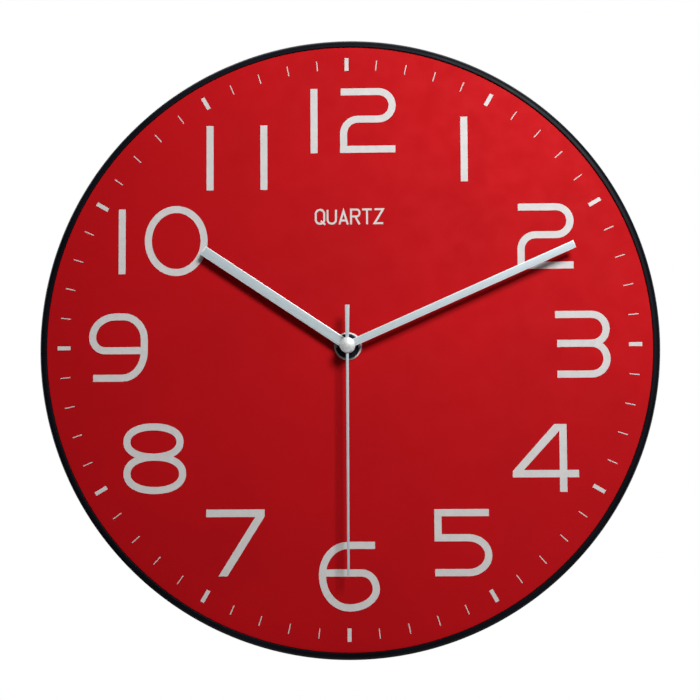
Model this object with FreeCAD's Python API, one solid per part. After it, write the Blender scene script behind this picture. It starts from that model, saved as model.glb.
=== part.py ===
import FreeCAD, Part
import math
import os

from FreeCAD import Vector

# Round quartz wall clock, in millimetres.
# The wall is the plane y = 0, the dial faces -Y and +Z is up. The hands turn about the line x = 0, z = 0.
# A "depth" is a distance in front of the wall, so depth d is the plane y = -d.
# The pieces are drawn hands and wheels first seen from the front: x to the right, z up.

# Case and dial
CASE_RADIUS = 150.0
CASE_REAR_RADIUS = 148.4
CASE_WALL = 2.4
RIM_FRONT = 22.0
RIM_ROUND = 2.9
CASE_FILLET = 2.0
DIAL_RADIUS = 146.2
DIAL_GAP = 0.15
DIAL_BACK = 20.2
DIAL_FRONT = 21.2
WEB_BACK = 18.8
BUSH_HOLE_RADIUS = 4.3
RIB_HEIGHT = 4.0
RIB_THICKNESS = 1.6
RIB_COUNT = 8
RIB_START_RADIUS = 43.0
RING_RIB_RADIUS = 96.0
LOCATING_WALL_HEIGHT = 5.5
LOCATING_WALL = 1.5
LOCATING_GAP = 0.3
DIAGONAL = math.sqrt(0.5)

# Hanger at the top of the case's back
HANGER_Z = 104.0
HANGER_WIDTH = 42.0
HANGER_HEIGHT = 22.0
HANGER_BACK = 2.4
HANGER_FRONT = 3.6
HANGER_CORNER = 3.0
KEYHOLE_HEAD_RADIUS = 4.5
KEYHOLE_SLOT_WIDTH = 4.0
KEYHOLE_RISE = 6.5
KEYHOLE_DROP = 3.0
SCREW_SPACING = 30.0
SCREW_RADIUS = 1.5
SCREW_HEAD_RADIUS = 3.0
SCREW_HEAD_HEIGHT = 1.8
SCREW_HEAD_ROUND = 0.7
SCREW_CROSS_WIDTH = 0.7
SCREW_CROSS_LENGTH = 3.6
SCREW_CROSS_DEPTH = 0.9
SCREW_CLEARANCE = 0.2
SCREW_LENGTH = 8.0
SCREW_HOLE_LENGTH = 9.0
BOSS_RADIUS = 4.0

# Movement case
MOVEMENT_HALF_WIDTH = 28.0
MOVEMENT_TOP = 18.5
MOVEMENT_BOTTOM = -37.5
MOVEMENT_CORNER = 2.0
COVER_BACK = 2.5
COVER_FRONT = 3.7
HOUSING_FRONT = 18.2
TRAIN_FLOOR = 16.9
TRAIN_HALF_WIDTH = 26.5
TRAIN_TOP = 17.0
TRAIN_BOTTOM = -20.2
PARTITION_BOTTOM = -21.4
BAY_FLOOR = 17.25
BAY_HALF_WIDTH = 26.8
BAY_BOTTOM = -35.9
BRIDGE_BACK = 6.6
BRIDGE_FRONT = 7.4
FINGER_NOTCH_HALF_WIDTH = 9.0
FINGER_NOTCH_DEPTH = 5.0
CONTACT_SLOT_WIDTH = 0.7
CONTACT_SLOT_TOP = -18.6
CONTACT_SLOT_DEPTH = 4.2
POST_RADIUS = 1.2
POSTS = [(-17.5, 13.0), (0.0, -13.5), (23.5, -2.0)]
SNAP_TAB_INNER = 25.3
SNAP_TAB_OUTER = 26.4
SNAP_TAB_HEIGHT = 3.0
SNAP_TAB_REACH = 2.0
SNAP_TABS = [(-1, 12.0), (1, 12.0), (1, -18.0)]
LABEL_LEFT = -22.0
LABEL_RIGHT = -2.0
LABEL_BOTTOM = -12.0
LABEL_TOP = 8.0
LABEL_DEPTH = 0.3
GASKET_HALF_WIDTH = 15.0
GASKET_CORNER = 3.0

# Size AA cell, lying across the bottom of the movement
CELL_RADIUS = 7.1
CELL_BODY_LENGTH = 49.2
CELL_NUB_RADIUS = 2.75
CELL_NUB_LENGTH = 1.2
CELL_ROUND = 0.5
CELL_POSITIVE_X = -24.4
CELL_Z = -28.65
CELL_DEPTH = 10.05
CONTACT_THICKNESS = 0.4
CONTACT_WALL_X = 26.7
CONTACT_BOTTOM = -34.5
CONTACT_TOP = -22.0
CONTACT_BACK = 5.0
CONTACT_FRONT = 15.0
CONTACT_TAIL_BOTTOM = -22.9
CONTACT_TAIL_TOP = -18.9
CONTACT_TAIL_BACK = 4.0
CONTACT_TAIL_FRONT = 7.5
CONTACT_BUTTON_RADIUS = 2.2
CONTACT_TAB_RIGHT = -24.6
CONTACT_TAB_WIDTH = 0.8
CONTACT_TAB_THICKNESS = 0.3
TONGUE_THICKNESS = 0.3
TONGUE_HALF_WIDTH = 2.0
TONGUE_REACH = 4.6
TONGUE_FLAT = 1.5
TONGUE_ROOT = 1.0
STRIP_LEFT = -18.5
SHEET_GAP = 0.1
LEAD_LAP = 2.0

# Gear teeth: stub involutes with generous backlash
PRESSURE_ANGLE = math.radians(25.0)
ADDENDUM = 0.75
DEDENDUM = 1.1
TOOTH_SHARE = 0.42
FLANK_STEPS = 3
WINDOW_COUNT = 5
WINDOW_CIRCLE = 0.58
WINDOW_SIZE = 0.2

# Teeth and modules of each mesh: pinion teeth, wheel teeth, module
ROTOR_MESH = (12, 60, 0.30)
SECOND_MESH = (10, 60, 0.35)
THIRD_MESH = (8, 60, 0.36)
CENTRE_MESH = (8, 64, 0.34)
MOTION_MESH = (12, 36, 0.50)
HOUR_MESH = (10, 40, 0.48)

# Back and front depth of each gear level
ROTOR_LEVEL = (7.8, 8.6)
SECOND_LEVEL = (9.4, 10.2)
THIRD_LEVEL = (11.0, 11.8)
CENTRE_LEVEL = (12.8, 13.6)
MOTION_LEVEL = (14.4, 15.2)
HOUR_LEVEL = (15.7, 16.7)

# Arbors, tubes and running clearances
PIVOT_RADIUS = 0.5
PIVOT_GAP = 0.06
PIVOT_FRONT = 17.4
PIVOT_HOLE_FRONT = 17.6
SMALL_HUB_RADIUS = 1.0
INTERMEDIATE_HUB_RADIUS = 1.3
MOTION_HUB_RADIUS = 1.6
HUB_STEP = 0.3
HUB_LAP = 0.1
SHOULDER_RADIUS = 2.6
CLUTCH_RADIUS = 3.8
CLUTCH_THICKNESS = 0.15
CLUTCH_RISE = 0.3
PIVOT_BACK = 6.7
ROTOR_TIP_RADIUS = 0.3
ROTOR_TIP_BACK = 3.2
ROTOR_ARBOR_BACK = 3.9
KNOB_ARBOR_RADIUS = 0.6
KNOB_SLEEVE_RADIUS = 1.1
KNOB_SLEEVE_FRONT = 6.0
KNOB_RADIUS = 5.2
KNOB_BACK = 0.7
KNOB_FRONT = 2.2
KNOB_GRIPS = 18
KNOB_GROOVE_RADIUS = 0.5
KNOB_GROOVE_OFFSET = 0.15
KNOB_ARBOR_BACK = 2.7
KNOB_RECESS_RADIUS = 6.5
KNOB_RECESS_DEPTH = 0.4
SECOND_ARBOR_RADIUS = 0.5
MINUTE_TUBE_RADIUS = 1.75
MINUTE_TUBE_BORE = 0.58
HOUR_TUBE_RADIUS = 2.5
HOUR_TUBE_BORE = 1.82
BUSH_RADIUS = 4.0
BUSH_BORE = 2.575
BUSH_FLANGE_RADIUS = 5.4
BUSH_FLANGE_FRONT = 17.5
BUSH_FRONT = 24.4
THREAD_START = 18.4
THREAD_PITCH = 1.0
THREAD_HEIGHT = 0.4
THREAD_FLANK = 0.4
THREAD_FLAT = 0.1
THREAD_GAP = 0.02
NUT_GAP = 0.03
WASHER_GAP = 0.15
WASHER_RADIUS = 6.7
WASHER_CHAMFER = 0.2
WASHER_FRONT = 21.7
NUT_RADIUS = 5.7
NUT_NOTCH_WIDTH = 1.6
NUT_NOTCH_DEPTH = 0.8
NUT_FRONT = 23.9
NUT_CHAMFER = 0.5

# Motor
MAGNET_RADIUS = 2.5
MAGNET_BACK = 4.7
MAGNET_FRONT = 6.5
STATOR_BACK = 5.3
STATOR_FRONT = 6.1
STATOR_HOLE_RADIUS = 3.0
CORE_FRONT = 6.9
CORE_HEIGHT = 2.6
COIL_Z = 14.2
COIL_DEPTH = 6.5
COIL_LEFT = -11.0
COIL_RIGHT = 5.0
COIL_FLANGE_RADIUS = 2.7
COIL_FLANGE = 0.6
WINDING_RADIUS = 2.45
BOBBIN_RADIUS = 1.7
LEG_WIDTH = 3.0
LEG_SLACK = 0.2
STATOR_COIL_GAP = 0.6
STATOR_RING = 0.9

# Circuit board
BOARD_LEFT = -26.2
BOARD_RIGHT = -16.4
BOARD_BOTTOM = -19.0
BOARD_TOP = 9.0
BOARD_BACK = 4.4
BOARD_FRONT = 5.2
CHIP_PLACE = (-20.6, -4.0)
CHIP_RADIUS = 2.7
CHIP_HEIGHT = 1.1
CRYSTAL_PLACE = (-23.6, 1.2)
CRYSTAL_RADIUS = 1.0
CRYSTAL_LENGTH = 6.0
CRYSTAL_LEADS_HALF_WIDTH = 0.3
CRYSTAL_LEADS_LENGTH = 1.4
LEADS_LAP = 0.2

# Hands: clock angles in degrees, clockwise from 12
HOUR_ANGLE = 303.8
MINUTE_ANGLE = 66.3
SECOND_ANGLE = 180.0
HOUR_LENGTH = 83.6
HOUR_WIDTH = 4.8
HOUR_EYE_RADIUS = 3.7
HOUR_BACK = 25.8
HOUR_FRONT = 26.4
HOUR_TUBE_FRONT = 26.8
MINUTE_LENGTH = 118.6
MINUTE_WIDTH = 3.6
MINUTE_EYE_RADIUS = 3.6
MINUTE_BACK = 28.4
MINUTE_FRONT = 29.0
MINUTE_TUBE_FRONT = 29.6
SECOND_LENGTH = 108.8
SECOND_TIP_WIDTH = 1.1
SECOND_ROOT_WIDTH = 1.3
SECOND_TAIL = 19.1
SECOND_TAIL_ROOT_WIDTH = 1.6
SECOND_TAIL_WIDTH = 2.2
SECOND_EYE_RADIUS = 2.8
SECOND_BACK = 31.0
SECOND_FRONT = 31.4
SECOND_ARBOR_FRONT = 31.9
HAND_BEVEL = 0.2
COLLET_DROP = 0.8
HOUR_COLLET_RADIUS = 2.95
HOUR_FLANGE_RADIUS = 3.35
HOUR_FLANGE_HEIGHT = 0.3
MINUTE_COLLET_RADIUS = 2.4
MINUTE_FLANGE_RADIUS = 3.1
MINUTE_FLANGE_HEIGHT = 0.25
SECOND_COLLET_RADIUS = 1.0
CAP_RADIUS = 3.65
CAP_EDGE = 0.7
CAP_FRONT = 33.0

# Positions of the arbors around the hand axis
CENTRE = (0.0, 0.0)


def mesh_distance(mesh):
    """Distance between the two arbors of a pinion and its wheel."""
    pinion, wheel, module = mesh
    return (pinion + wheel) * module / 2.0


def beside(start, distance, degrees):
    """Point at a distance and direction from another, both as (x, z)."""
    angle = math.radians(degrees)
    return (start[0] + distance * math.cos(angle), start[1] + distance * math.sin(angle))


INTERMEDIATE_DIRECTION = 20.0
ROTOR_DIRECTION = 165.0
THIRD_DIRECTION = 180.0
KNOB_DIRECTION = -30.0
INTERMEDIATE = beside(CENTRE, mesh_distance(SECOND_MESH), INTERMEDIATE_DIRECTION)
ROTOR = beside(INTERMEDIATE, mesh_distance(ROTOR_MESH), ROTOR_DIRECTION)
THIRD = beside(CENTRE, mesh_distance(THIRD_MESH), THIRD_DIRECTION)
KNOB = beside(CENTRE, mesh_distance(MOTION_MESH), KNOB_DIRECTION)

FORWARD = Vector(0, -1, 0)
TINY = 1e-4
HAND_AXIS = Vector(0, 1, 0)
UPWARD = Vector(0, 0, 1)
SIDEWAYS = Vector(1, 0, 0)


# Basic shapes

def at(x, depth, z):
    """Point at a depth in front of the wall."""
    return Vector(x, -depth, z)


def disc(radius, back, front, place=CENTRE):
    """Round bar along the depth."""
    return Part.makeCylinder(radius, front - back, at(place[0], back, place[1]), FORWARD)


def ring(outer, inner, back, front, place=CENTRE):
    """Round tube along the depth."""
    return disc(outer, back, front, place).cut(disc(inner, back, front, place))


def block(left, right, bottom, top, back, front):
    """Rectangular block."""
    return Part.makeBox(right - left, front - back, top - bottom, at(left, front, bottom))


def rounded_block(left, right, bottom, top, back, front, radius):
    """Block whose four edges along the depth are rounded."""
    solid = block(left, right, bottom, top, back, front)
    edges = [edge for edge in solid.Edges if abs(edge.tangentAt(edge.FirstParameter).y) > 0.9]
    return solid.makeFillet(radius, edges)


def bar_along_x(radius, left, right, depth, z):
    """Round bar along X."""
    return Part.makeCylinder(radius, right - left, at(left, depth, z), SIDEWAYS)


def plate(outline, back, front, holes=()):
    """Flat piece with a straight-sided outline of (x, z) points and round holes of (place, radius)."""
    points = [at(x, back, z) for x, z in outline]
    points.append(points[0])
    wires = [Part.makePolygon(points)]
    for place, radius in holes:
        circle = Part.makeCircle(radius, at(place[0], back, place[1]), FORWARD)
        wires.append(Part.Wire([circle]))
    face = Part.makeFace(wires, "Part::FaceMakerBullseye")
    return face.extrude(at(0, front - back, 0))


def turned(outline, place=CENTRE):
    """Solid of revolution along the depth, from (radius, depth) points."""
    points = [at(radius, depth, 0) for radius, depth in outline]
    points.append(points[0])
    return revolved([Part.makePolygon(points)], place)


def revolved(pieces, place=CENTRE):
    """Solid of revolution along the depth, from the edges or wires of a closed outline."""
    face = Part.Face(Part.Wire(pieces))
    solid = face.revolve(Vector(0, 0, 0), HAND_AXIS, 360)
    solid.translate(Vector(place[0], 0, place[1]))
    return solid


def line(start, end):
    """Straight stretch of a turned outline, from (radius, depth) to (radius, depth)."""
    return Part.makeLine(at(start[0], start[1], 0), at(end[0], end[1], 0))


def arc(start, through, end):
    """Round stretch of a turned outline."""
    points = [at(radius, depth, 0) for radius, depth in (start, through, end)]
    return Part.Arc(*points).toShape()


def dome(radius, base, top):
    """Arc of a ball-shaped cap about the axis, from its edge at one depth to its top at another."""
    rise = top - base
    ball = (radius ** 2 + rise ** 2) / (2.0 * rise)
    half = 0.5 * math.asin(radius / ball)
    through = (ball * math.sin(half), top - ball * (1.0 - math.cos(half)))
    return arc((radius, base), through, (0.0, top))


def joined(first, *others):
    """One solid from solids that touch or overlap."""
    return first.multiFuse(list(others)).removeSplitter()


def clock_turned(solid, degrees):
    """Turn a piece clockwise, as seen from the front, about the hand axis."""
    solid.rotate(Vector(0, 0, 0), HAND_AXIS, degrees)
    return solid


# Gears

def involute(angle):
    """Involute function of a pressure angle."""
    return math.tan(angle) - angle


def tooth_half_angle(radius, teeth, module):
    """Half the angle that one tooth takes at a radius."""
    pitch_radius = teeth * module / 2.0
    base_radius = pitch_radius * math.cos(PRESSURE_ANGLE)
    at_pitch = TOOTH_SHARE * math.pi / teeth
    angle = math.acos(min(1.0, base_radius / radius))
    return at_pitch + involute(PRESSURE_ANGLE) - involute(angle)


def gear_outline(teeth, module, phase):
    """Points of a spur gear about the origin, with a tooth centred on the phase angle."""
    pitch_radius = teeth * module / 2.0
    base_radius = pitch_radius * math.cos(PRESSURE_ANGLE)
    tip = pitch_radius + ADDENDUM * module
    root = pitch_radius - DEDENDUM * module
    foot = max(base_radius, root)
    radii = [foot + (tip - foot) * step / (FLANK_STEPS - 1) for step in range(FLANK_STEPS)]
    flank = [(radius, tooth_half_angle(radius, teeth, module)) for radius in radii]
    if root < base_radius:
        flank.insert(0, (root, flank[0][1]))
    points = []
    for tooth in range(teeth):
        middle = phase + 2.0 * math.pi * tooth / teeth
        for radius, half in flank:
            points.append((radius * math.cos(middle - half), radius * math.sin(middle - half)))
        for radius, half in reversed(flank):
            points.append((radius * math.cos(middle + half), radius * math.sin(middle + half)))
    return points


def gear(teeth, module, level, place=CENTRE, phase=0.0, bore=0.0, windows=0):
    """Spur gear between two depths, with a round bore and round windows in its web."""
    outline = [(place[0] + x, place[1] + z) for x, z in gear_outline(teeth, module, phase)]
    holes = []
    if bore:
        holes.append((place, bore))
    pitch_radius = teeth * module / 2.0
    for window in range(windows):
        middle = beside(place, WINDOW_CIRCLE * pitch_radius, 360.0 * window / windows)
        holes.append((middle, WINDOW_SIZE * pitch_radius))
    return plate(outline, level[0], level[1], holes)


def meshed_phase(teeth, place, other_teeth, other_place, other_phase=0.0):
    """Phase that puts a gear's gap on the tooth of the gear it meshes with."""
    direction = math.atan2(place[1] - other_place[1], place[0] - other_place[0])
    offset = other_teeth * (other_phase - direction) / (2.0 * math.pi)
    return direction + math.pi + 2.0 * math.pi / teeth * (0.5 - offset)


# Case, dial and hanger

def case_shell():
    """Black pan: rounded rim, recess for the dial, ribs, bosses and an open back."""
    recess = DIAL_RADIUS + DIAL_GAP
    shoulder = (CASE_RADIUS, RIM_FRONT - RIM_ROUND)
    corner = (CASE_RADIUS - RIM_ROUND, RIM_FRONT)
    bulge = RIM_ROUND * (1.0 - DIAGONAL)
    inner_front = CASE_RADIUS - CASE_WALL
    corner_bulge = CASE_FILLET * (1.0 - DIAGONAL)
    outline = [
        line((CASE_REAR_RADIUS, 0), shoulder),
        arc(shoulder, (CASE_RADIUS - bulge, RIM_FRONT - bulge), corner),
        line(corner, (recess, RIM_FRONT)),
        line((recess, RIM_FRONT), (recess, DIAL_BACK)),
        line((recess, DIAL_BACK), (BUSH_HOLE_RADIUS, DIAL_BACK)),
        line((BUSH_HOLE_RADIUS, DIAL_BACK), (BUSH_HOLE_RADIUS, WEB_BACK)),
        line((BUSH_HOLE_RADIUS, WEB_BACK), (inner_front - CASE_FILLET, WEB_BACK)),
        arc(
            (inner_front - CASE_FILLET, WEB_BACK),
            (inner_front - corner_bulge, WEB_BACK - corner_bulge),
            (inner_front, WEB_BACK - CASE_FILLET),
        ),
        line((inner_front, WEB_BACK - CASE_FILLET), (CASE_REAR_RADIUS - CASE_WALL, 0)),
        line((CASE_REAR_RADIUS - CASE_WALL, 0), (CASE_REAR_RADIUS, 0)),
    ]
    shell = revolved(outline)
    bosses = [disc(BOSS_RADIUS, HANGER_FRONT, DIAL_BACK, place) for place in screw_places()]
    shell = joined(shell, *case_ribs(), *locating_walls(), *bosses)
    for place in screw_places():
        shell = shell.cut(disc(SCREW_RADIUS, HANGER_FRONT, HANGER_FRONT + SCREW_HOLE_LENGTH, place))
    return shell


def case_ribs():
    """Radial ribs and one round rib behind the dial."""
    sunk = 0.5 * (DIAL_BACK - WEB_BACK)
    back = WEB_BACK - RIB_HEIGHT
    half = RIB_THICKNESS / 2.0
    reach = CASE_RADIUS - CASE_WALL + sunk
    ribs = [ring(RING_RIB_RADIUS + half, RING_RIB_RADIUS - half, back, WEB_BACK + sunk)]
    for number in range(RIB_COUNT):
        rib = block(-half, half, RIB_START_RADIUS, reach, back, WEB_BACK + sunk)
        ribs.append(clock_turned(rib, 360.0 * (number + 0.5) / RIB_COUNT))
    return ribs


def locating_walls():
    """Low square wall that keeps the movement from turning."""
    inner = MOVEMENT_HALF_WIDTH + LOCATING_GAP
    outer = inner + LOCATING_WALL
    low = MOVEMENT_BOTTOM - LOCATING_GAP
    high = MOVEMENT_TOP + LOCATING_GAP
    back = WEB_BACK - LOCATING_WALL_HEIGHT
    front = 0.5 * (DIAL_BACK + WEB_BACK)
    frame = block(-outer, outer, low - LOCATING_WALL, high + LOCATING_WALL, back, front)
    return [frame.cut(block(-inner, inner, low, high, back, front))]


def screw_places():
    """Places of the two hanger screws."""
    return [(-SCREW_SPACING / 2.0, HANGER_Z), (SCREW_SPACING / 2.0, HANGER_Z)]


def dial_plate():
    """Round dial that lies in the recess of the case."""
    return ring(DIAL_RADIUS, BUSH_HOLE_RADIUS, DIAL_BACK, DIAL_FRONT)


def hanger_plate():
    """Steel plate with a keyhole for a wall screw."""
    half_width = HANGER_WIDTH / 2.0
    low = HANGER_Z - HANGER_HEIGHT / 2.0
    high = HANGER_Z + HANGER_HEIGHT / 2.0
    solid = rounded_block(
        -half_width, half_width, low, high, HANGER_BACK, HANGER_FRONT, HANGER_CORNER
    )
    head_z = keyhole_z()
    slot_top = head_z + KEYHOLE_RISE
    half_slot = KEYHOLE_SLOT_WIDTH / 2.0
    solid = solid.cut(disc(KEYHOLE_HEAD_RADIUS, HANGER_BACK, HANGER_FRONT, (0.0, head_z)))
    solid = solid.cut(block(-half_slot, half_slot, head_z, slot_top, HANGER_BACK, HANGER_FRONT))
    solid = solid.cut(disc(half_slot, HANGER_BACK, HANGER_FRONT, (0.0, slot_top)))
    for place in screw_places():
        solid = solid.cut(disc(SCREW_RADIUS + SCREW_CLEARANCE, HANGER_BACK, HANGER_FRONT, place))
    return solid


def keyhole_z():
    """Height of the keyhole's wide hole."""
    return HANGER_Z - KEYHOLE_DROP


def hanger_screws():
    """Two pan-head screws with cross slots."""
    screws = []
    head_back = HANGER_BACK - SCREW_HEAD_HEIGHT
    slot_floor = head_back + SCREW_CROSS_DEPTH
    narrow = SCREW_CROSS_WIDTH / 2.0
    wide = SCREW_CROSS_LENGTH / 2.0
    for x, z in screw_places():
        head = disc(SCREW_HEAD_RADIUS, head_back, HANGER_BACK, (x, z))
        rim = [edge for edge in head.Edges if edge.BoundBox.YMin > -HANGER_BACK + TINY and edge.Closed]
        head = head.makeFillet(SCREW_HEAD_ROUND, rim)
        shank = disc(SCREW_RADIUS, HANGER_BACK, HANGER_FRONT + SCREW_LENGTH, (x, z))
        screw = joined(head, shank)
        screw = screw.cut(block(x - narrow, x + narrow, z - wide, z + wide, head_back, slot_floor))
        screw = screw.cut(block(x - wide, x + wide, z - narrow, z + narrow, head_back, slot_floor))
        screws.append(screw)
    return Part.makeCompound(screws)


# Fixing of the movement

def movement_gasket():
    """Square rubber washer between the movement and the case."""
    half = GASKET_HALF_WIDTH
    solid = rounded_block(-half, half, -half, half, HOUSING_FRONT, WEB_BACK, GASKET_CORNER)
    return solid.cut(disc(BUSH_HOLE_RADIUS, HOUSING_FRONT, WEB_BACK))


def bush_washer():
    """Plated washer on the dial, with its front edge broken."""
    return turned([
        (BUSH_RADIUS + WASHER_GAP, DIAL_FRONT),
        (WASHER_RADIUS, DIAL_FRONT),
        (WASHER_RADIUS, WASHER_FRONT - WASHER_CHAMFER),
        (WASHER_RADIUS - WASHER_CHAMFER, WASHER_FRONT),
        (BUSH_RADIUS + WASHER_GAP, WASHER_FRONT),
    ])


def bush_nut():
    """Round dark nut that clamps the dial, with a chamfer in front and two notches for a spanner."""
    nut = turned([
        (BUSH_RADIUS + NUT_GAP, WASHER_FRONT),
        (NUT_RADIUS, WASHER_FRONT),
        (NUT_RADIUS, NUT_FRONT - NUT_CHAMFER),
        (NUT_RADIUS - NUT_CHAMFER, NUT_FRONT),
        (BUSH_RADIUS + NUT_GAP, NUT_FRONT),
    ])
    half = NUT_NOTCH_WIDTH / 2.0
    notch_start = NUT_RADIUS - NUT_NOTCH_DEPTH
    for side in (-1, 1):
        inner, outer = sorted((side * notch_start, side * (NUT_RADIUS + NUT_NOTCH_DEPTH)))
        nut = nut.cut(block(inner, outer, -half, half, WASHER_FRONT, NUT_FRONT))
    return nut


def threaded_bush():
    """Brass bush that carries the hour tube and the nut; its thread is drawn as round ridges."""
    barrel = BUSH_RADIUS - THREAD_GAP
    root = BUSH_RADIUS - THREAD_HEIGHT
    outline = [
        (BUSH_BORE, TRAIN_FLOOR),
        (BUSH_FLANGE_RADIUS, TRAIN_FLOOR),
        (BUSH_FLANGE_RADIUS, BUSH_FLANGE_FRONT),
        (barrel, BUSH_FLANGE_FRONT),
        (barrel, THREAD_START),
    ]
    ridges = int((BUSH_FRONT - THREAD_START) / THREAD_PITCH)
    for ridge in range(ridges):
        start = THREAD_START + ridge * THREAD_PITCH
        outline.append((root, start + THREAD_FLANK * THREAD_PITCH))
        outline.append((root, start + (THREAD_FLANK + THREAD_FLAT) * THREAD_PITCH))
        outline.append((barrel, start + (1.0 - THREAD_FLAT) * THREAD_PITCH))
        outline.append((barrel, start + THREAD_PITCH))
    outline.append((BUSH_BORE, THREAD_START + ridges * THREAD_PITCH))
    return turned(outline)


# Movement case

def front_housing():
    """Moulded box of the movement: train space above, battery bay below, both open at the back."""
    half = MOVEMENT_HALF_WIDTH
    box = rounded_block(
        -half, half, MOVEMENT_BOTTOM, MOVEMENT_TOP, COVER_FRONT, HOUSING_FRONT, MOVEMENT_CORNER
    )
    train = block(-TRAIN_HALF_WIDTH, TRAIN_HALF_WIDTH, TRAIN_BOTTOM, TRAIN_TOP, COVER_FRONT, TRAIN_FLOOR)
    bay = block(-BAY_HALF_WIDTH, BAY_HALF_WIDTH, BAY_BOTTOM, PARTITION_BOTTOM, COVER_FRONT, BAY_FLOOR)
    finger_notch = block(
        -FINGER_NOTCH_HALF_WIDTH, FINGER_NOTCH_HALF_WIDTH, MOVEMENT_BOTTOM, BAY_BOTTOM,
        COVER_FRONT, COVER_FRONT + FINGER_NOTCH_DEPTH,
    )
    box = box.cut(train).cut(bay).cut(finger_notch)
    slot_front = COVER_FRONT + CONTACT_SLOT_DEPTH
    for side in (-1, 1):
        inner, outer = sorted((side * (BAY_HALF_WIDTH - CONTACT_SLOT_WIDTH), side * BAY_HALF_WIDTH))
        box = box.cut(block(inner, outer, PARTITION_BOTTOM, CONTACT_SLOT_TOP, COVER_FRONT, slot_front))
    posts = [disc(POST_RADIUS, BRIDGE_FRONT, PIVOT_FRONT, place) for place in POSTS]
    box = joined(box, *posts)
    for place in (THIRD, INTERMEDIATE, KNOB):
        box = box.cut(disc(PIVOT_RADIUS + PIVOT_GAP, TRAIN_FLOOR, PIVOT_HOLE_FRONT, place))
    box = box.cut(disc(BUSH_FLANGE_RADIUS, TRAIN_FLOOR, BUSH_FLANGE_FRONT))
    return box.cut(disc(BUSH_RADIUS, TRAIN_FLOOR, HOUSING_FRONT))


def train_bridge():
    """Moulded middle plate that carries the back pivots of the train."""
    outline = [
        (-16.0, -4.0), (-16.0, 6.0), (-19.4, 11.4), (-19.4, 14.8), (-15.2, 14.8), (-14.4, 10.8),
        (14.0, 10.8), (25.4, 0.0), (25.4, -4.0), (14.0, -10.5), (3.0, -15.3), (-3.0, -15.3),
    ]
    holes = [(place, PIVOT_RADIUS + PIVOT_GAP) for place in (THIRD, INTERMEDIATE, ROTOR)]
    holes.append((CENTRE, SECOND_ARBOR_RADIUS + PIVOT_GAP))
    holes.append((KNOB, KNOB_ARBOR_RADIUS + PIVOT_GAP))
    return plate(outline, BRIDGE_BACK, BRIDGE_FRONT, holes)


def rear_cover():
    """Back cover of the train space, with a shallow label field and three snap tabs."""
    half = MOVEMENT_HALF_WIDTH
    cover = rounded_block(
        -half, half, PARTITION_BOTTOM, MOVEMENT_TOP, COVER_BACK, COVER_FRONT, MOVEMENT_CORNER
    )
    inside = (COVER_BACK + COVER_FRONT) / 2.0
    tabs = []
    for side, z in SNAP_TABS:
        inner, outer = sorted((side * SNAP_TAB_INNER, side * SNAP_TAB_OUTER))
        tabs.append(block(inner, outer, z, z + SNAP_TAB_HEIGHT, inside, COVER_FRONT + SNAP_TAB_REACH))
    cover = joined(cover, *tabs)
    label = block(
        LABEL_LEFT, LABEL_RIGHT, LABEL_BOTTOM, LABEL_TOP, COVER_BACK, COVER_BACK + LABEL_DEPTH
    )
    cover = cover.cut(label)
    cover = cover.cut(disc(KNOB_RECESS_RADIUS, COVER_BACK, COVER_BACK + KNOB_RECESS_DEPTH, KNOB))
    cover = cover.cut(disc(KNOB_SLEEVE_RADIUS + PIVOT_GAP, COVER_BACK, COVER_FRONT, KNOB))
    return cover.cut(disc(ROTOR_TIP_RADIUS + PIVOT_GAP, inside, COVER_FRONT, ROTOR))


def setting_knob():
    """Grooved knob on the back that sets the hands, with the sleeve that holds its arbor."""
    knob = disc(KNOB_RADIUS, KNOB_BACK, KNOB_FRONT, KNOB)
    grooves = []
    for grip in range(KNOB_GRIPS):
        place = beside(KNOB, KNOB_RADIUS + KNOB_GROOVE_OFFSET, 360.0 * grip / KNOB_GRIPS)
        grooves.append(disc(KNOB_GROOVE_RADIUS, KNOB_BACK, KNOB_FRONT, place))
    knob = knob.cut(Part.makeCompound(grooves))
    sleeve = disc(KNOB_SLEEVE_RADIUS, (KNOB_BACK + KNOB_FRONT) / 2.0, KNOB_SLEEVE_FRONT, KNOB)
    knob = joined(knob, sleeve)
    return knob.cut(disc(KNOB_ARBOR_RADIUS, KNOB_ARBOR_BACK, KNOB_SLEEVE_FRONT, KNOB))


# Battery and electronics

def battery_cell():
    """Size AA cell."""
    negative_x = CELL_POSITIVE_X + CELL_BODY_LENGTH
    can = bar_along_x(CELL_RADIUS, CELL_POSITIVE_X, negative_x, CELL_DEPTH, CELL_Z)
    can = can.makeFillet(CELL_ROUND, [edge for edge in can.Edges if edge.Closed])
    nub_left = CELL_POSITIVE_X - CELL_NUB_LENGTH
    nub = bar_along_x(CELL_NUB_RADIUS, nub_left, CELL_POSITIVE_X + CELL_ROUND, CELL_DEPTH, CELL_Z)
    return joined(can, nub)


def contact_plate(side):
    """Upright plate at one end of the bay, with the tail that leads to the train space."""
    inner, outer = sorted((side * (CONTACT_WALL_X - CONTACT_THICKNESS), side * CONTACT_WALL_X))
    body = block(inner, outer, CONTACT_BOTTOM, CONTACT_TOP, CONTACT_BACK, CONTACT_FRONT)
    tail = block(
        inner, outer, CONTACT_TAIL_BOTTOM, CONTACT_TAIL_TOP, CONTACT_TAIL_BACK, CONTACT_TAIL_FRONT
    )
    return joined(body, tail)


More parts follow.
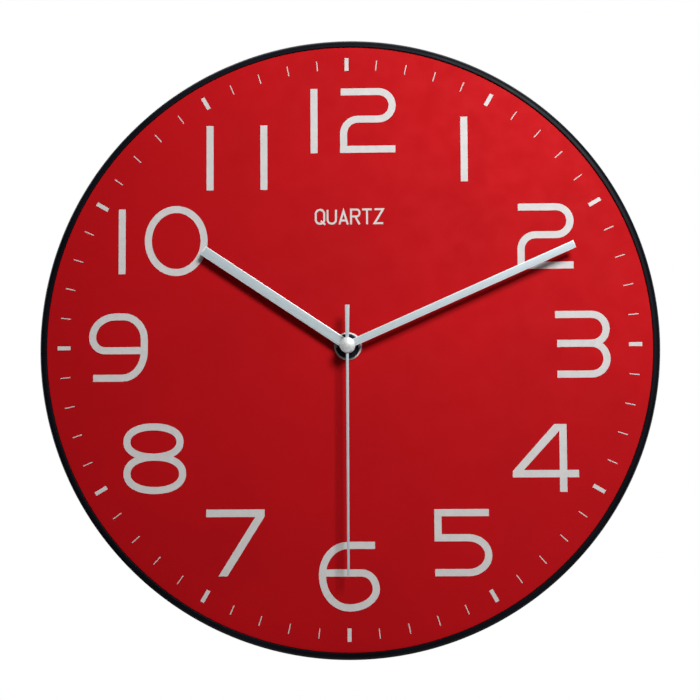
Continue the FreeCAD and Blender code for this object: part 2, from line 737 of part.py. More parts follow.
def battery_contact_positive():
    """Tinned contact with a pressed button and a tab on the circuit board."""
    button_left = -CONTACT_WALL_X + CONTACT_THICKNESS / 2.0
    button_right = CELL_POSITIVE_X - CELL_NUB_LENGTH
    button = bar_along_x(CONTACT_BUTTON_RADIUS, button_left, button_right, CELL_DEPTH, CELL_Z)
    back = BOARD_FRONT + SHEET_GAP
    front = back + CONTACT_TAB_THICKNESS
    lead_left = CONTACT_TAB_RIGHT - CONTACT_TAB_WIDTH
    tab = block(-CONTACT_WALL_X, CONTACT_TAB_RIGHT, TRAIN_BOTTOM, CONTACT_TAIL_TOP, back, front)
    lead = block(lead_left, CONTACT_TAB_RIGHT, TRAIN_BOTTOM, BOARD_BOTTOM + LEAD_LAP, back, front)
    return joined(contact_plate(-1), button, tab, lead)


def battery_contact_negative():
    """Tinned contact with a bent spring tongue and a strip along the partition."""
    tip = CELL_POSITIVE_X + CELL_BODY_LENGTH
    inner_tip = tip + TONGUE_THICKNESS
    root = CONTACT_WALL_X - CONTACT_THICKNESS / 2.0
    inner_reach = TONGUE_REACH - TONGUE_ROOT
    inner_flat = TONGUE_FLAT - TONGUE_THICKNESS / 2.0
    outline = [
        (root, CELL_Z - TONGUE_REACH), (tip, CELL_Z - TONGUE_FLAT),
        (tip, CELL_Z + TONGUE_FLAT), (root, CELL_Z + TONGUE_REACH),
        (root, CELL_Z + inner_reach), (inner_tip, CELL_Z + inner_flat),
        (inner_tip, CELL_Z - inner_flat), (root, CELL_Z - inner_reach),
    ]
    tongue = plate(outline, CELL_DEPTH - TONGUE_HALF_WIDTH, CELL_DEPTH + TONGUE_HALF_WIDTH)
    strip = block(
        STRIP_LEFT, CONTACT_WALL_X, TRAIN_BOTTOM + SHEET_GAP, CONTACT_TAIL_TOP,
        CONTACT_TAIL_BACK, CONTACT_TAIL_BACK + CONTACT_TAB_THICKNESS,
    )
    return joined(contact_plate(1), tongue, strip)


def circuit_board():
    """Small circuit board beside the train."""
    return block(BOARD_LEFT, BOARD_RIGHT, BOARD_BOTTOM, BOARD_TOP, BOARD_BACK, BOARD_FRONT)


def driver_chip():
    """Round black encapsulation of the driver circuit."""
    foot = (0.0, BOARD_FRONT)
    top = BOARD_FRONT + CHIP_HEIGHT
    outline = [
        dome(CHIP_RADIUS, BOARD_FRONT, top),
        line((0.0, top), foot),
        line(foot, (CHIP_RADIUS, BOARD_FRONT)),
    ]
    return revolved(outline, CHIP_PLACE)


def quartz_crystal():
    """Small metal can of the quartz crystal, lying on the board."""
    x, bottom = CRYSTAL_PLACE
    axis_depth = BOARD_FRONT + CRYSTAL_RADIUS
    can = Part.makeCylinder(CRYSTAL_RADIUS, CRYSTAL_LENGTH, at(x, axis_depth, bottom), UPWARD)
    left = x - CRYSTAL_LEADS_HALF_WIDTH
    right = x + CRYSTAL_LEADS_HALF_WIDTH
    leads_top = bottom + LEADS_LAP
    leads = block(left, right, bottom - CRYSTAL_LEADS_LENGTH, leads_top, BOARD_FRONT, axis_depth)
    return joined(can, leads)


def coil_bobbin():
    """Plastic reel of the coil, with a flat passage for its core."""
    barrel = bar_along_x(BOBBIN_RADIUS, COIL_LEFT, COIL_RIGHT, COIL_DEPTH, COIL_Z)
    left = bar_along_x(COIL_FLANGE_RADIUS, COIL_LEFT, COIL_LEFT + COIL_FLANGE, COIL_DEPTH, COIL_Z)
    right = bar_along_x(COIL_FLANGE_RADIUS, COIL_RIGHT - COIL_FLANGE, COIL_RIGHT, COIL_DEPTH, COIL_Z)
    half = CORE_HEIGHT / 2.0
    passage = block(COIL_LEFT, COIL_RIGHT, COIL_Z - half, COIL_Z + half, STATOR_FRONT, CORE_FRONT)
    return joined(barrel, left, right).cut(passage)


def coil_winding():
    """Copper winding on the reel."""
    left = COIL_LEFT + COIL_FLANGE
    right = COIL_RIGHT - COIL_FLANGE
    outside = bar_along_x(WINDING_RADIUS, left, right, COIL_DEPTH, COIL_Z)
    return outside.cut(bar_along_x(BOBBIN_RADIUS, left, right, COIL_DEPTH, COIL_Z))


def coil_core():
    """Flat iron core through the coil, lying on the stator's legs."""
    half = CORE_HEIGHT / 2.0
    left = COIL_LEFT - LEG_WIDTH
    right = COIL_RIGHT + LEG_WIDTH
    return block(left, right, COIL_Z - half, COIL_Z + half, STATOR_FRONT, CORE_FRONT)


def stator():
    """Iron stator plate: a bar with the rotor's hole and two legs to the coil core."""
    left = COIL_LEFT - LEG_WIDTH
    right = COIL_RIGHT + LEG_WIDTH
    left_inside = left + LEG_WIDTH - LEG_SLACK
    right_inside = right - LEG_WIDTH + LEG_SLACK
    top = COIL_Z + CORE_HEIGHT / 2.0 + LEG_SLACK
    bar_top = COIL_Z - COIL_FLANGE_RADIUS - STATOR_COIL_GAP
    bar_bottom = ROTOR[1] - STATOR_HOLE_RADIUS - STATOR_RING
    outline = [
        (left, bar_bottom), (right, bar_bottom), (right, top), (right_inside, top),
        (right_inside, bar_top), (left_inside, bar_top), (left_inside, top), (left, top),
    ]
    return plate(outline, STATOR_BACK, STATOR_FRONT, [(ROTOR, STATOR_HOLE_RADIUS)])


def rotor_magnet():
    """Magnet of the stepping motor."""
    return ring(MAGNET_RADIUS, PIVOT_RADIUS, MAGNET_BACK, MAGNET_FRONT, ROTOR)


# Wheel train

def rotor_pinion():
    """Arbor of the rotor with the first pinion."""
    pinion, wheel, module = ROTOR_MESH
    phase = meshed_phase(pinion, ROTOR, wheel, INTERMEDIATE)
    teeth = gear(pinion, module, ROTOR_LEVEL, ROTOR, phase)
    arbor = disc(PIVOT_RADIUS, ROTOR_ARBOR_BACK, ROTOR_LEVEL[1] + HUB_STEP, ROTOR)
    tip = disc(ROTOR_TIP_RADIUS, ROTOR_TIP_BACK, ROTOR_ARBOR_BACK + HUB_LAP, ROTOR)
    return joined(arbor, tip, teeth)


def intermediate_wheel():
    """Moulded wheel and pinion between the rotor and the second wheel."""
    rotor_wheel = gear(ROTOR_MESH[1], ROTOR_MESH[2], ROTOR_LEVEL, INTERMEDIATE)
    pinion, wheel, module = SECOND_MESH
    phase = meshed_phase(pinion, INTERMEDIATE, wheel, CENTRE)
    teeth = gear(pinion, module, SECOND_LEVEL, INTERMEDIATE, phase)
    hub = disc(INTERMEDIATE_HUB_RADIUS, ROTOR_LEVEL[0] - HUB_LAP, SECOND_LEVEL[0] + HUB_LAP, INTERMEDIATE)
    arbor = disc(PIVOT_RADIUS, PIVOT_BACK, PIVOT_FRONT, INTERMEDIATE)
    return joined(arbor, hub, rotor_wheel, teeth)


def second_wheel():
    """Moulded second wheel and its pinion, pressed on the second arbor."""
    wheel = gear(SECOND_MESH[1], SECOND_MESH[2], SECOND_LEVEL, CENTRE, bore=PIVOT_RADIUS)
    pinion = gear(THIRD_MESH[0], THIRD_MESH[2], THIRD_LEVEL, CENTRE, bore=PIVOT_RADIUS)
    hub = ring(SMALL_HUB_RADIUS, PIVOT_RADIUS, SECOND_LEVEL[0] - HUB_STEP, THIRD_LEVEL[0] + HUB_LAP)
    return joined(hub, wheel, pinion)


def second_arbor():
    """Steel arbor that runs through both tubes and carries the second hand."""
    return disc(SECOND_ARBOR_RADIUS, PIVOT_BACK, SECOND_ARBOR_FRONT)


def third_wheel():
    """Moulded third wheel and its pinion."""
    third_phase = meshed_phase(THIRD_MESH[1], THIRD, THIRD_MESH[0], CENTRE)
    wheel = gear(THIRD_MESH[1], THIRD_MESH[2], THIRD_LEVEL, THIRD, third_phase, windows=WINDOW_COUNT)
    pinion_phase = meshed_phase(CENTRE_MESH[0], THIRD, CENTRE_MESH[1], CENTRE)
    pinion = gear(CENTRE_MESH[0], CENTRE_MESH[2], CENTRE_LEVEL, THIRD, pinion_phase)
    hub = disc(SMALL_HUB_RADIUS, THIRD_LEVEL[0] - HUB_STEP, CENTRE_LEVEL[0] + HUB_LAP, THIRD)
    arbor = disc(PIVOT_RADIUS, PIVOT_BACK, PIVOT_FRONT, THIRD)
    return joined(arbor, hub, wheel, pinion)


def centre_wheel():
    """Centre wheel that drives the minute arbor through a friction clutch."""
    bore = MINUTE_TUBE_RADIUS + PIVOT_GAP
    return gear(CENTRE_MESH[1], CENTRE_MESH[2], CENTRE_LEVEL, CENTRE, bore=bore, windows=WINDOW_COUNT)


def clutch_spring():
    """Sprung washer on the minute arbor that presses on the centre wheel."""
    inner_front = CENTRE_LEVEL[1] + CLUTCH_RISE
    outer_back = CENTRE_LEVEL[1] + HUB_LAP
    return turned([
        (MINUTE_TUBE_RADIUS, inner_front), (MINUTE_TUBE_RADIUS, inner_front - CLUTCH_THICKNESS),
        (CLUTCH_RADIUS, outer_back), (CLUTCH_RADIUS, outer_back + CLUTCH_THICKNESS),
    ])


def minute_arbor():
    """Minute tube with its shoulder and the pinion of the motion work."""
    shoulder_front = CENTRE_LEVEL[0] - HUB_LAP
    shoulder_back = shoulder_front - HUB_STEP
    tube = ring(MINUTE_TUBE_RADIUS, MINUTE_TUBE_BORE, shoulder_back, MINUTE_TUBE_FRONT)
    inside = (MINUTE_TUBE_RADIUS + MINUTE_TUBE_BORE) / 2.0
    shoulder = ring(SHOULDER_RADIUS, inside, shoulder_back, shoulder_front)
    pinion = gear(MOTION_MESH[0], MOTION_MESH[2], MOTION_LEVEL, CENTRE, bore=inside)
    return joined(tube, shoulder, pinion)


def motion_wheel():
    """Motion wheel and pinion on the knob's arbor."""
    wheel_phase = meshed_phase(MOTION_MESH[1], KNOB, MOTION_MESH[0], CENTRE)
    wheel = gear(MOTION_MESH[1], MOTION_MESH[2], MOTION_LEVEL, KNOB, wheel_phase, windows=WINDOW_COUNT)
    pinion_phase = meshed_phase(HOUR_MESH[0], KNOB, HOUR_MESH[1], CENTRE)
    pinion = gear(HOUR_MESH[0], HOUR_MESH[2], HOUR_LEVEL, KNOB, pinion_phase)
    hub = disc(MOTION_HUB_RADIUS, MOTION_LEVEL[0] - HUB_STEP, HOUR_LEVEL[0] + HUB_LAP, KNOB)
    arbor = disc(KNOB_ARBOR_RADIUS, KNOB_ARBOR_BACK, HOUR_LEVEL[1], KNOB)
    pivot = disc(PIVOT_RADIUS, HOUR_LEVEL[1] - HUB_LAP, PIVOT_FRONT, KNOB)
    return joined(arbor, pivot, hub, wheel, pinion)


def hour_wheel():
    """Hour wheel with the tube that carries the hour hand."""
    tube = ring(HOUR_TUBE_RADIUS, HOUR_TUBE_BORE, HOUR_LEVEL[0], HOUR_TUBE_FRONT)
    inside = (HOUR_TUBE_RADIUS + HOUR_TUBE_BORE) / 2.0
    teeth = gear(HOUR_MESH[1], HOUR_MESH[2], HOUR_LEVEL, CENTRE, bore=inside)
    return joined(tube, teeth)


# Hands

def bevelled_front(solid, front, size):
    """Bevel the outer edges of a flat piece's front face."""
    edges = []
    for edge in solid.Edges:
        box = edge.BoundBox
        if abs(box.YMin + front) < TINY and abs(box.YMax + front) < TINY:
            edges.append(edge)
    return solid.makeChamfer(size, edges)


def bar_hand(length, width, eye_radius, hole_radius, back, front, degrees):
    """Straight hand with a square tip and a round eye."""
    half = width / 2.0
    bar = block(-half, half, 0.0, length, back, front)
    hand = joined(bar, disc(eye_radius, back, front))
    hand = bevelled_front(hand, front, HAND_BEVEL)
    hand = hand.cut(disc(hole_radius, back, front))
    return clock_turned(hand, degrees)


def hour_hand():
    """Hour hand."""
    return bar_hand(
        HOUR_LENGTH, HOUR_WIDTH, HOUR_EYE_RADIUS, HOUR_COLLET_RADIUS, HOUR_BACK, HOUR_FRONT, HOUR_ANGLE
    )


def minute_hand():
    """Minute hand."""
    return bar_hand(
        MINUTE_LENGTH, MINUTE_WIDTH, MINUTE_EYE_RADIUS, MINUTE_COLLET_RADIUS,
        MINUTE_BACK, MINUTE_FRONT, MINUTE_ANGLE,
    )


def second_hand():
    """Thin second hand with a short tail that widens towards its end."""
    tip = SECOND_TIP_WIDTH / 2.0
    root = SECOND_ROOT_WIDTH / 2.0
    tail_root = SECOND_TAIL_ROOT_WIDTH / 2.0
    tail = SECOND_TAIL_WIDTH / 2.0
    outline = [
        (-tip, SECOND_LENGTH), (tip, SECOND_LENGTH), (root, 0.0), (tail_root, 0.0), (tail, -SECOND_TAIL),
        (-tail, -SECOND_TAIL), (-tail_root, 0.0), (-root, 0.0),
    ]
    strip = plate(outline, SECOND_BACK, SECOND_FRONT)
    hand = joined(strip, disc(SECOND_EYE_RADIUS, SECOND_BACK, SECOND_FRONT))
    hand = hand.cut(disc(SECOND_ARBOR_RADIUS, SECOND_BACK, SECOND_FRONT))
    return clock_turned(hand, SECOND_ANGLE)


def hand_collet(bore, outer, flange, hand_back, hand_front, flange_height):
    """Turned collet through a hand's eye, with a flange that is bevelled at 45 degrees in front."""
    back = hand_back - COLLET_DROP
    front = hand_front + flange_height
    return turned([
        (bore, back), (outer, back), (outer, hand_front),
        (flange, hand_front), (flange - flange_height, front), (bore, front),
    ])


def hour_hand_collet():
    """Collet of the hour hand, with the flange that rivets the eye."""
    return hand_collet(
        HOUR_TUBE_RADIUS, HOUR_COLLET_RADIUS, HOUR_FLANGE_RADIUS, HOUR_BACK, HOUR_FRONT, HOUR_FLANGE_HEIGHT
    )


def minute_hand_collet():
    """Collet of the minute hand."""
    return hand_collet(
        MINUTE_TUBE_RADIUS, MINUTE_COLLET_RADIUS, MINUTE_FLANGE_RADIUS,
        MINUTE_BACK, MINUTE_FRONT, MINUTE_FLANGE_HEIGHT,
    )


def second_hand_collet():
    """Small tube under the second hand."""
    return ring(SECOND_COLLET_RADIUS, SECOND_ARBOR_RADIUS, SECOND_BACK - COLLET_DROP, SECOND_BACK)


def second_hand_cap():
    """Domed cap over the centre."""
    foot = (0.0, SECOND_FRONT)
    edge = (CAP_RADIUS, SECOND_FRONT)
    shoulder = (CAP_RADIUS, SECOND_FRONT + CAP_EDGE)
    outline = [
        line(foot, edge),
        line(edge, shoulder),
        dome(CAP_RADIUS, SECOND_FRONT + CAP_EDGE, CAP_FRONT),
        line((0.0, CAP_FRONT), foot),
    ]
    return revolved(outline).cut(disc(SECOND_ARBOR_RADIUS, SECOND_FRONT, SECOND_ARBOR_FRONT))


PIECES = [
    case_shell, dial_plate, hanger_plate, hanger_screws, movement_gasket, bush_washer, bush_nut,
    threaded_bush, front_housing, train_bridge, rear_cover, setting_knob, battery_cell,
    battery_contact_positive, battery_contact_negative, circuit_board, driver_chip, quartz_crystal,
    coil_bobbin, coil_winding, coil_core, stator, rotor_magnet, rotor_pinion, intermediate_wheel,
    second_wheel, second_arbor, third_wheel, centre_wheel, clutch_spring, minute_arbor, motion_wheel,
    hour_wheel, hour_hand, hour_hand_collet, minute_hand, minute_hand_collet, second_hand,
    second_hand_collet, second_hand_cap,
]

os.makedirs("parts", exist_ok=True)
for piece in PIECES:
    shape = piece()
    if not shape.isValid():
        print("not valid:", piece.__name__)
    shape.exportStep("parts/" + piece.__name__ + ".step")
    print(piece.__name__, len(shape.Solids), "solid", round(shape.Volume, 2), "mm3")
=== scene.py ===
import math

import bmesh
import bpy
from mathutils import Matrix, Vector
from mathutils.geometry import tessellate_polygon


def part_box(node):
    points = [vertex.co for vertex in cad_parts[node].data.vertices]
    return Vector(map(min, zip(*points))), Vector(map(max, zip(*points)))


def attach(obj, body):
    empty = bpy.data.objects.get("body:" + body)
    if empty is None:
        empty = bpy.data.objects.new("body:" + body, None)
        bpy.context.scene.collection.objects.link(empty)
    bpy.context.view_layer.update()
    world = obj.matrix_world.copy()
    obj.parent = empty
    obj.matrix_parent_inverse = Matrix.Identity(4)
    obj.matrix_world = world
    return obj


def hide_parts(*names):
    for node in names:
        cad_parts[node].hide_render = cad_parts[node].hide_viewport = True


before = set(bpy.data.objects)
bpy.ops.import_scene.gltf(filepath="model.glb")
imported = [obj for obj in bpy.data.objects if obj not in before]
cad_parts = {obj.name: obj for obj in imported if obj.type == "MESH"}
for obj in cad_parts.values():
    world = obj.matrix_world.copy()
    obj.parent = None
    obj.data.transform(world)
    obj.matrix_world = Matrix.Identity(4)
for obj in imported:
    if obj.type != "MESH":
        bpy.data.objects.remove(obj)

# Looks of the round quartz wall clock. Sizes are in millimetres and become metres when a mesh is made.
# A "depth" is a distance in front of the wall, so depth d is the plane y = -d, as in the CAD model.
# Flat shapes are drawn as seen from the front: x to the right, z up.

MM = 0.001
TINY = 1e-6
SAME = 1e-3
TURN = 2.0 * math.pi
QUARTER = 0.25 * TURN
CASE = "clock_case"

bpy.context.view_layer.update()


def depths(node):
    """Back and front depth of a CAD node, in millimetres."""
    low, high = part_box(node)
    return -high.y / MM, -low.y / MM


def sides(node, gap=0.0):
    """Left, right, bottom and top of a CAD node in millimetres, widened by a gap."""
    low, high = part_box(node)
    return low.x / MM - gap, high.x / MM + gap, low.z / MM - gap, high.z / MM + gap


def centre_of(node):
    """Middle (x, z) of a CAD node, in millimetres."""
    left, right, bottom, top = sides(node)
    return (left + right) / 2.0, (bottom + top) / 2.0


def half_width(node):
    """Half the width along X of a CAD node, in millimetres."""
    left, right = sides(node)[:2]
    return (right - left) / 2.0


# Driving dimensions, from the frame
CASE_RADIUS = half_width("case_shell")
RIM_FRONT = depths("case_shell")[1]
DIAL_RADIUS = half_width("dial_plate")
DIAL_BACK, DIAL_FRONT = depths("dial_plate")

# Case details. A circle of pins is its radius and the number of pins on it.
REAR_TAPER = 1.5
CASE_WALL = 2.4
RIM_ROUND = 2.9
LIP_ROUND = 0.25
REAR_ROUND = 0.4
WEB = 1.4
CASE_FILLET = 2.0
RECESS_GAP = 0.15
BUSH_HOLE_RADIUS = 4.3
RIB_HEIGHT = 4.0
RIB_THICKNESS = 1.6
RIB_COUNT = 8
RIB_START = 43.0
RING_RIB_RADIUS = 96.0
RIB_ROUND = 0.3
BOSS_RADIUS = 4.0
FIN_HALF = 0.6
FIN_REACH = (2.0, 8.0)
FIN_SET_IN = 6.0
FIN_ANGLES = (45.0, 135.0, 225.0, 315.0)
SCREW_HOLE_RADIUS = 1.5
SCREW_HOLE_LENGTH = 9.0
LOCATING_WALL = 1.5
LOCATING_HEIGHT = 5.5
LOCATING_GAP = 0.3
LOCATING_CORNER = 1.5
PIN_RADIUS = 3.0
PIN_HEIGHT = 0.3
PIN_CHAMFER = 0.15
PIN_START = 0.25
PIN_CIRCLES = [(70.0, 8), (122.0, 16)]
DIAL_ROUND = 0.2
CUT_PAST = 1.0

# Hanger, screws, battery, knob and the marks round it. The dish is radii and depths from the knob's back.
HANGER_CORNER = 3.0
HANGER_CHAMFER = 0.1
HANGER_ROUND = 0.3
KEYHOLE_HEAD_RADIUS = 4.5
KEYHOLE_SLOT = 4.0
KEYHOLE_RISE = 6.5
KEYHOLE_DROP = 3.0
KEYHOLE_STEPS = 48
SLOT_STEPS = 12
SCREW_CLEARANCE = 0.2
SCREW_HEAD_RADIUS = 3.0
SCREW_HEAD_ROUND = 0.9
SCREW_POINT = 0.8
SCREW_PITCH = 1.0
THREAD_DEPTH = 0.28
THREAD_CREST = 0.1
THREAD_ROOT = 0.5
CROSS_ANGLES = (20.0, 110.0)
CROSS_HALF = 0.36
CROSS_REACH = 1.8
CROSS_DEPTH = 0.9
CELL_NUB_RADIUS = 2.75
CELL_NUB_LENGTH = 1.2
CELL_NUB_ROUND = 0.4
CELL_NUB_FOOT = 0.25
CELL_JACKET = 0.25
CELL_CAN_ROUND = 0.6
CELL_BAND = 0.3
CELL_FOIL = 0.3
CELL_TURNED_IN = 1.6
CELL_ROUND = 0.55
CELL_SEAM = 0.05
KNOB_THICKNESS = 1.5
KNOB_GRIPS = 18
KNOB_GRIP_DEPTH = 0.35
KNOB_GRIP_STEPS = 10
KNOB_FRONT_ROUND = 0.2
KNOB_BACK_ROUND = 0.35
DISH_MOUTH = (3.2, -0.5)
DISH_FLOOR = (2.8, 0.45)
POINTER_HALF = (0.4, 2.3)
POINTER_CORNER = 0.35
POINTER_DEPTHS = (0.1, 0.8)
POINTER_ROUND = 0.15
SLEEVE_START = 1.0
SLEEVE_BORE = 0.6
SLEEVE_RADIUS = 1.1
SLEEVE_CHAMFER = 0.1
MARK_HEIGHT = 0.15
MARK_SUNK = 0.2
ARROW_RADIUS = 8.0
ARROW_WIDTH = 1.0
ARROW_SWEEP = 78.0
ARROW_STEPS = 13
ARROW_STARTS = (70.0, -110.0)
ARROW_HEAD = 16.0
POLE_MARK = 3.0
POLE_MARK_BAR = 0.8
POLE_MARK_RISE = 2.4
POLE_MARK_INSET = 6.0

# Print on the dial. A mark is its width and length.
PRINT_HEIGHT = 0.08
PRINT_SUNK = 0.05
STROKE = 3.4
TRACK_RADIUS = 137.8
HOUR_MARK = (1.9, 6.3)
MINUTE_MARK = (0.42, 4.8)
MINUTE_STEP = 6.0
WORD_PLACE = (1.0, 63.0)
WORD_HEIGHT = 6.8
WORD_STROKE = 0.95
WORD_SPACING = 1.6
WORD_WIDTH = 4.1
DIGIT_HEIGHT = 31.7
DIGIT_BARS = [(-16.0, 94.2), (56.8, 79.6), (-66.8, 76.5), (-40.5, 76.5), (-109.7, 35.9)]
TWO_PLACES = [(-3.3, 94.2), (82.0, 36.7)]
SIX_PLACE = (0.0, -110.15)
NOUGHT_CENTRE = (-83.3, 51.9)
NOUGHT_REACH = (13.6, 15.4)
EIGHT_POWER = 2.2

# Hands. A pair is the radii of an eye and its hole or of a collet's bore and flange, or the width and
# height of a chamfer. The second hand's widths are those of its tip, root, tail root and tail.
HOUR_WIDTH = 4.8
MINUTE_WIDTH = 3.6
SECOND_WIDTHS = (1.1, 1.3, 1.6, 2.2)
HOUR_EYE = (3.7, 2.95)
MINUTE_EYE = (3.6, 2.4)
SECOND_EYE = (2.8, 0.5)
SECOND_TAIL = 19.1
HAND_CHAMFER = (0.35, 0.14)
HAND_BACK_CHAMFER = (0.08, 0.08)
SECOND_CHAMFER = (0.25, 0.12)
CHAMFER_NORMALS = (-0.99, -0.5)
HOUR_LENGTH = 83.6
MINUTE_LENGTH = 118.6
SECOND_LENGTH = 108.8
HOUR_ANGLE = 303.8
MINUTE_ANGLE = 66.3
SECOND_ANGLE = 180.0
HOUR_BODY = "hour_work"
MINUTE_BODY = "minute_work"
SECOND_BODY = "second_work"
MOTION_BODY = "motion_work"
EYE_STEPS = 96
HOUR_COLLET = (2.5, 3.35)
MINUTE_COLLET = (1.75, 3.1)
COLLET_LEAD_IN = 0.1
FLANGE_ROUND = 0.22
FLANGE_BORE_ROUND = 0.15
WASHER_RADIUS = 6.7
WASHER_BORE = 4.15
WASHER_ROUND = 0.3
NUT_RADIUS = 5.9
NUT_BORE = 4.03
NUT_ROUND = 0.5
NUT_BORE_ROUND = 0.2
NOTCH_DEPTH = 0.8
NOTCH_HALF = 0.8
CAP_RADIUS = 3.65
CAP_EDGE = 0.7
CAP_CHAMFER = 0.15

# Camera, in millimetres and degrees
CAMERA_PLACE = (23.8, 721.2, -46.6)
CAMERA_YAW = -1.87
CAMERA_PITCH = 3.658
CAMERA_ROLL = -0.31
CAMERA_LENS = 74.9

# Square lights: name, place, size in metres and power
LIGHTS = [
    ("key", (252.0, 600.0, 372.0), 0.22, 5.3),
    ("right", (600.0, 800.0, 0.0), 0.4, 0.5),
    ("overhead", (0.0, -700.0, 1300.0), 1.8, 36.0),
    ("rear_left", (-1000.0, -1100.0, 300.0), 1.6, 26.0),
    ("rear_right", (1000.0, -1200.0, -100.0), 1.6, 15.0),
]
BACKGROUND = (1.0, 1.0, 1.0)
SURROUND = (0.03, 0.03, 0.032)
FLOOR_Z = -1500.0
FLOOR_HALF = 1300.0
PAPER = (0.8, 0.8, 0.8)

# Steps of round shapes, the least mitre of a corner, and angles in degrees
ARC_STEPS = 8
SMALL_STEPS = 32
SLEEVE_STEPS = 48
HOLE_STEPS = 64
ELLIPSE_STEPS = 96
ROUND_STEPS = 128
RING_STEPS = 192
RIM_STEPS = 384
LEAST_MITRE = 0.3
FLAT_ANGLE = 1.0
SHARP_ANGLE = 35.0
SOFTENED_ANGLE = 40.0


# Flat shapes, all lists of (x, z) points in millimetres

def smooth_corners(points, closed=False):
    """Path whose corners (x, z, before, after) turn on arcs that start and end those distances away.

    A single distance stands for both.
    """
    path = []
    count = len(points)
    for index, point in enumerate(points):
        corner = Vector(point[:2])
        if len(point) == 2 or (not closed and index in (0, count - 1)):
            path.append(corner)
            continue
        before = point[2]
        after = point[-1]
        arriving = (corner - Vector(points[index - 1][:2])).normalized()
        leaving = (Vector(points[(index + 1) % count][:2]) - corner).normalized()
        middle = corner - arriving * before + leaving * after
        for step in range(ARC_STEPS + 1):
            angle = QUARTER * step / ARC_STEPS
            path.append(middle + arriving * before * math.sin(angle) - leaving * after * math.cos(angle))
    kept = [
        point for index, point in enumerate(path)
        if index == 0 or (point - path[index - 1]).length > SAME
    ]
    if closed and (kept[0] - kept[-1]).length < SAME:
        kept.pop()
    return kept


def point_at(radius, angle, centre=(0.0, 0.0)):
    """Point on a circle, at an angle clockwise from its top."""
    return Vector((centre[0] + radius * math.sin(angle), centre[1] + radius * math.cos(angle)))


def arc(radius, start, end, steps, centre=(0.0, 0.0)):
    """Points along an arc between two angles."""
    angles = [start + (end - start) * step / steps for step in range(steps + 1)]
    return [point_at(radius, angle, centre) for angle in angles]


def ellipse(centre, across, up, power=2.0, steps=ELLIPSE_STEPS):
    """Closed ellipse, squarer for a power above 2."""
    points = []
    for step in range(steps):
        angle = TURN * step / steps
        x = math.copysign(abs(math.sin(angle)) ** (2.0 / power), math.sin(angle))
        z = math.copysign(abs(math.cos(angle)) ** (2.0 / power), math.cos(angle))
        points.append(Vector((centre[0] + across * x, centre[1] + up * z)))
    return points


def circle(radius, centre=(0.0, 0.0), steps=ELLIPSE_STEPS):
    """Clockwise circle."""
    return ellipse(centre, radius, radius, steps=steps)


def side_of(path, distance, closed=False):
    """Path beside another one, on its left for a positive distance, with mitred corners."""
    count = len(path)
    beside = []
    for index, point in enumerate(path):
        first = index if not closed and index == 0 else index - 1
        last = index if not closed and index == count - 1 else (index + 1) % count
        directions = []
        if first != index:
            directions.append((point - path[first]).normalized())
        if last != index:
            directions.append((path[last] - point).normalized())
        along = sum(directions, Vector((0.0, 0.0))).normalized()
        normal = Vector((-along.y, along.x))
        mitre = max(LEAST_MITRE, directions[0].dot(along))
        beside.append(point + normal * distance / mitre)
    return beside


def stroke(points, width=STROKE):
    """Outline of a pen stroke along a path."""
    path = smooth_corners(points)
    return [side_of(path, width / 2.0) + side_of(path, -width / 2.0)[::-1]]


def closed_stroke(path, width=STROKE):
    """Outer and inner outline of a pen stroke along a closed path."""
    return [side_of(path, width / 2.0, closed=True), side_of(path, -width / 2.0, closed=True)]


def rectangle(left, right, bottom, top, corner=0.0):
    """Rectangle with round corners."""
    points = [(left, bottom), (right, bottom), (right, top), (left, top)]
    if corner:
        return smooth_corners([(x, z, corner) for x, z in points], closed=True)
    return [Vector(point) for point in points]


def moved(loops, offset, degrees=0.0):
    """Loops turned clockwise about the origin and then moved."""
    turn = Matrix.Rotation(-math.radians(degrees), 2)
    return [[turn @ Vector(point) + Vector(offset) for point in loop] for loop in loops]


# Solids, as bmesh

def at(x, depth, z):
    """Point in metres from millimetres and a depth."""
    return Vector((x, -depth, z)) * MM


def round_edge(radius, steps=3):
    """Insets and drops of a rounded edge, from its side to its face."""
    angles = [QUARTER * step / steps for step in range(steps + 1)]
    return [(radius * (1.0 - math.cos(angle)), radius * (1.0 - math.sin(angle))) for angle in angles]


def flat_edge(width, height):
    """Insets and drops of a chamfered edge."""
    return [(0.0, height), (width, 0.0)]


def prism(loops, back, front, edge=None, back_edge=None):
    """Flat solid between two depths, with shaped edges.

    Outer loops run anticlockwise and holes clockwise.
    """
    levels = [(inset, back + drop) for inset, drop in reversed(back_edge or [(0.0, 0.0)])]
    levels += [(inset, front - drop) for inset, drop in (edge or [(0.0, 0.0)])]
    solid = bmesh.new()
    rings = []
    for inset, depth in levels:
        drawn = [side_of(loop, inset, closed=True) if inset else loop for loop in loops]
        rings.append([[solid.verts.new(at(x, depth, z)) for x, z in loop] for loop in drawn])
    for level in (rings[0], rings[-1]):
        flat = [vertex for loop in level for vertex in loop]
        drawn = [[Vector((vertex.co.x, vertex.co.z, 0.0)) / MM for vertex in loop] for loop in level]
        for triangle in tessellate_polygon(drawn):
            solid.faces.new([flat[index] for index in triangle])
    for low_level, high_level in zip(rings, rings[1:]):
        for near, far in zip(low_level, high_level):
            for index in range(len(near)):
                solid.faces.new((near[index - 1], near[index], far[index], far[index - 1]))
    bmesh.ops.recalc_face_normals(solid, faces=solid.faces)
    return solid


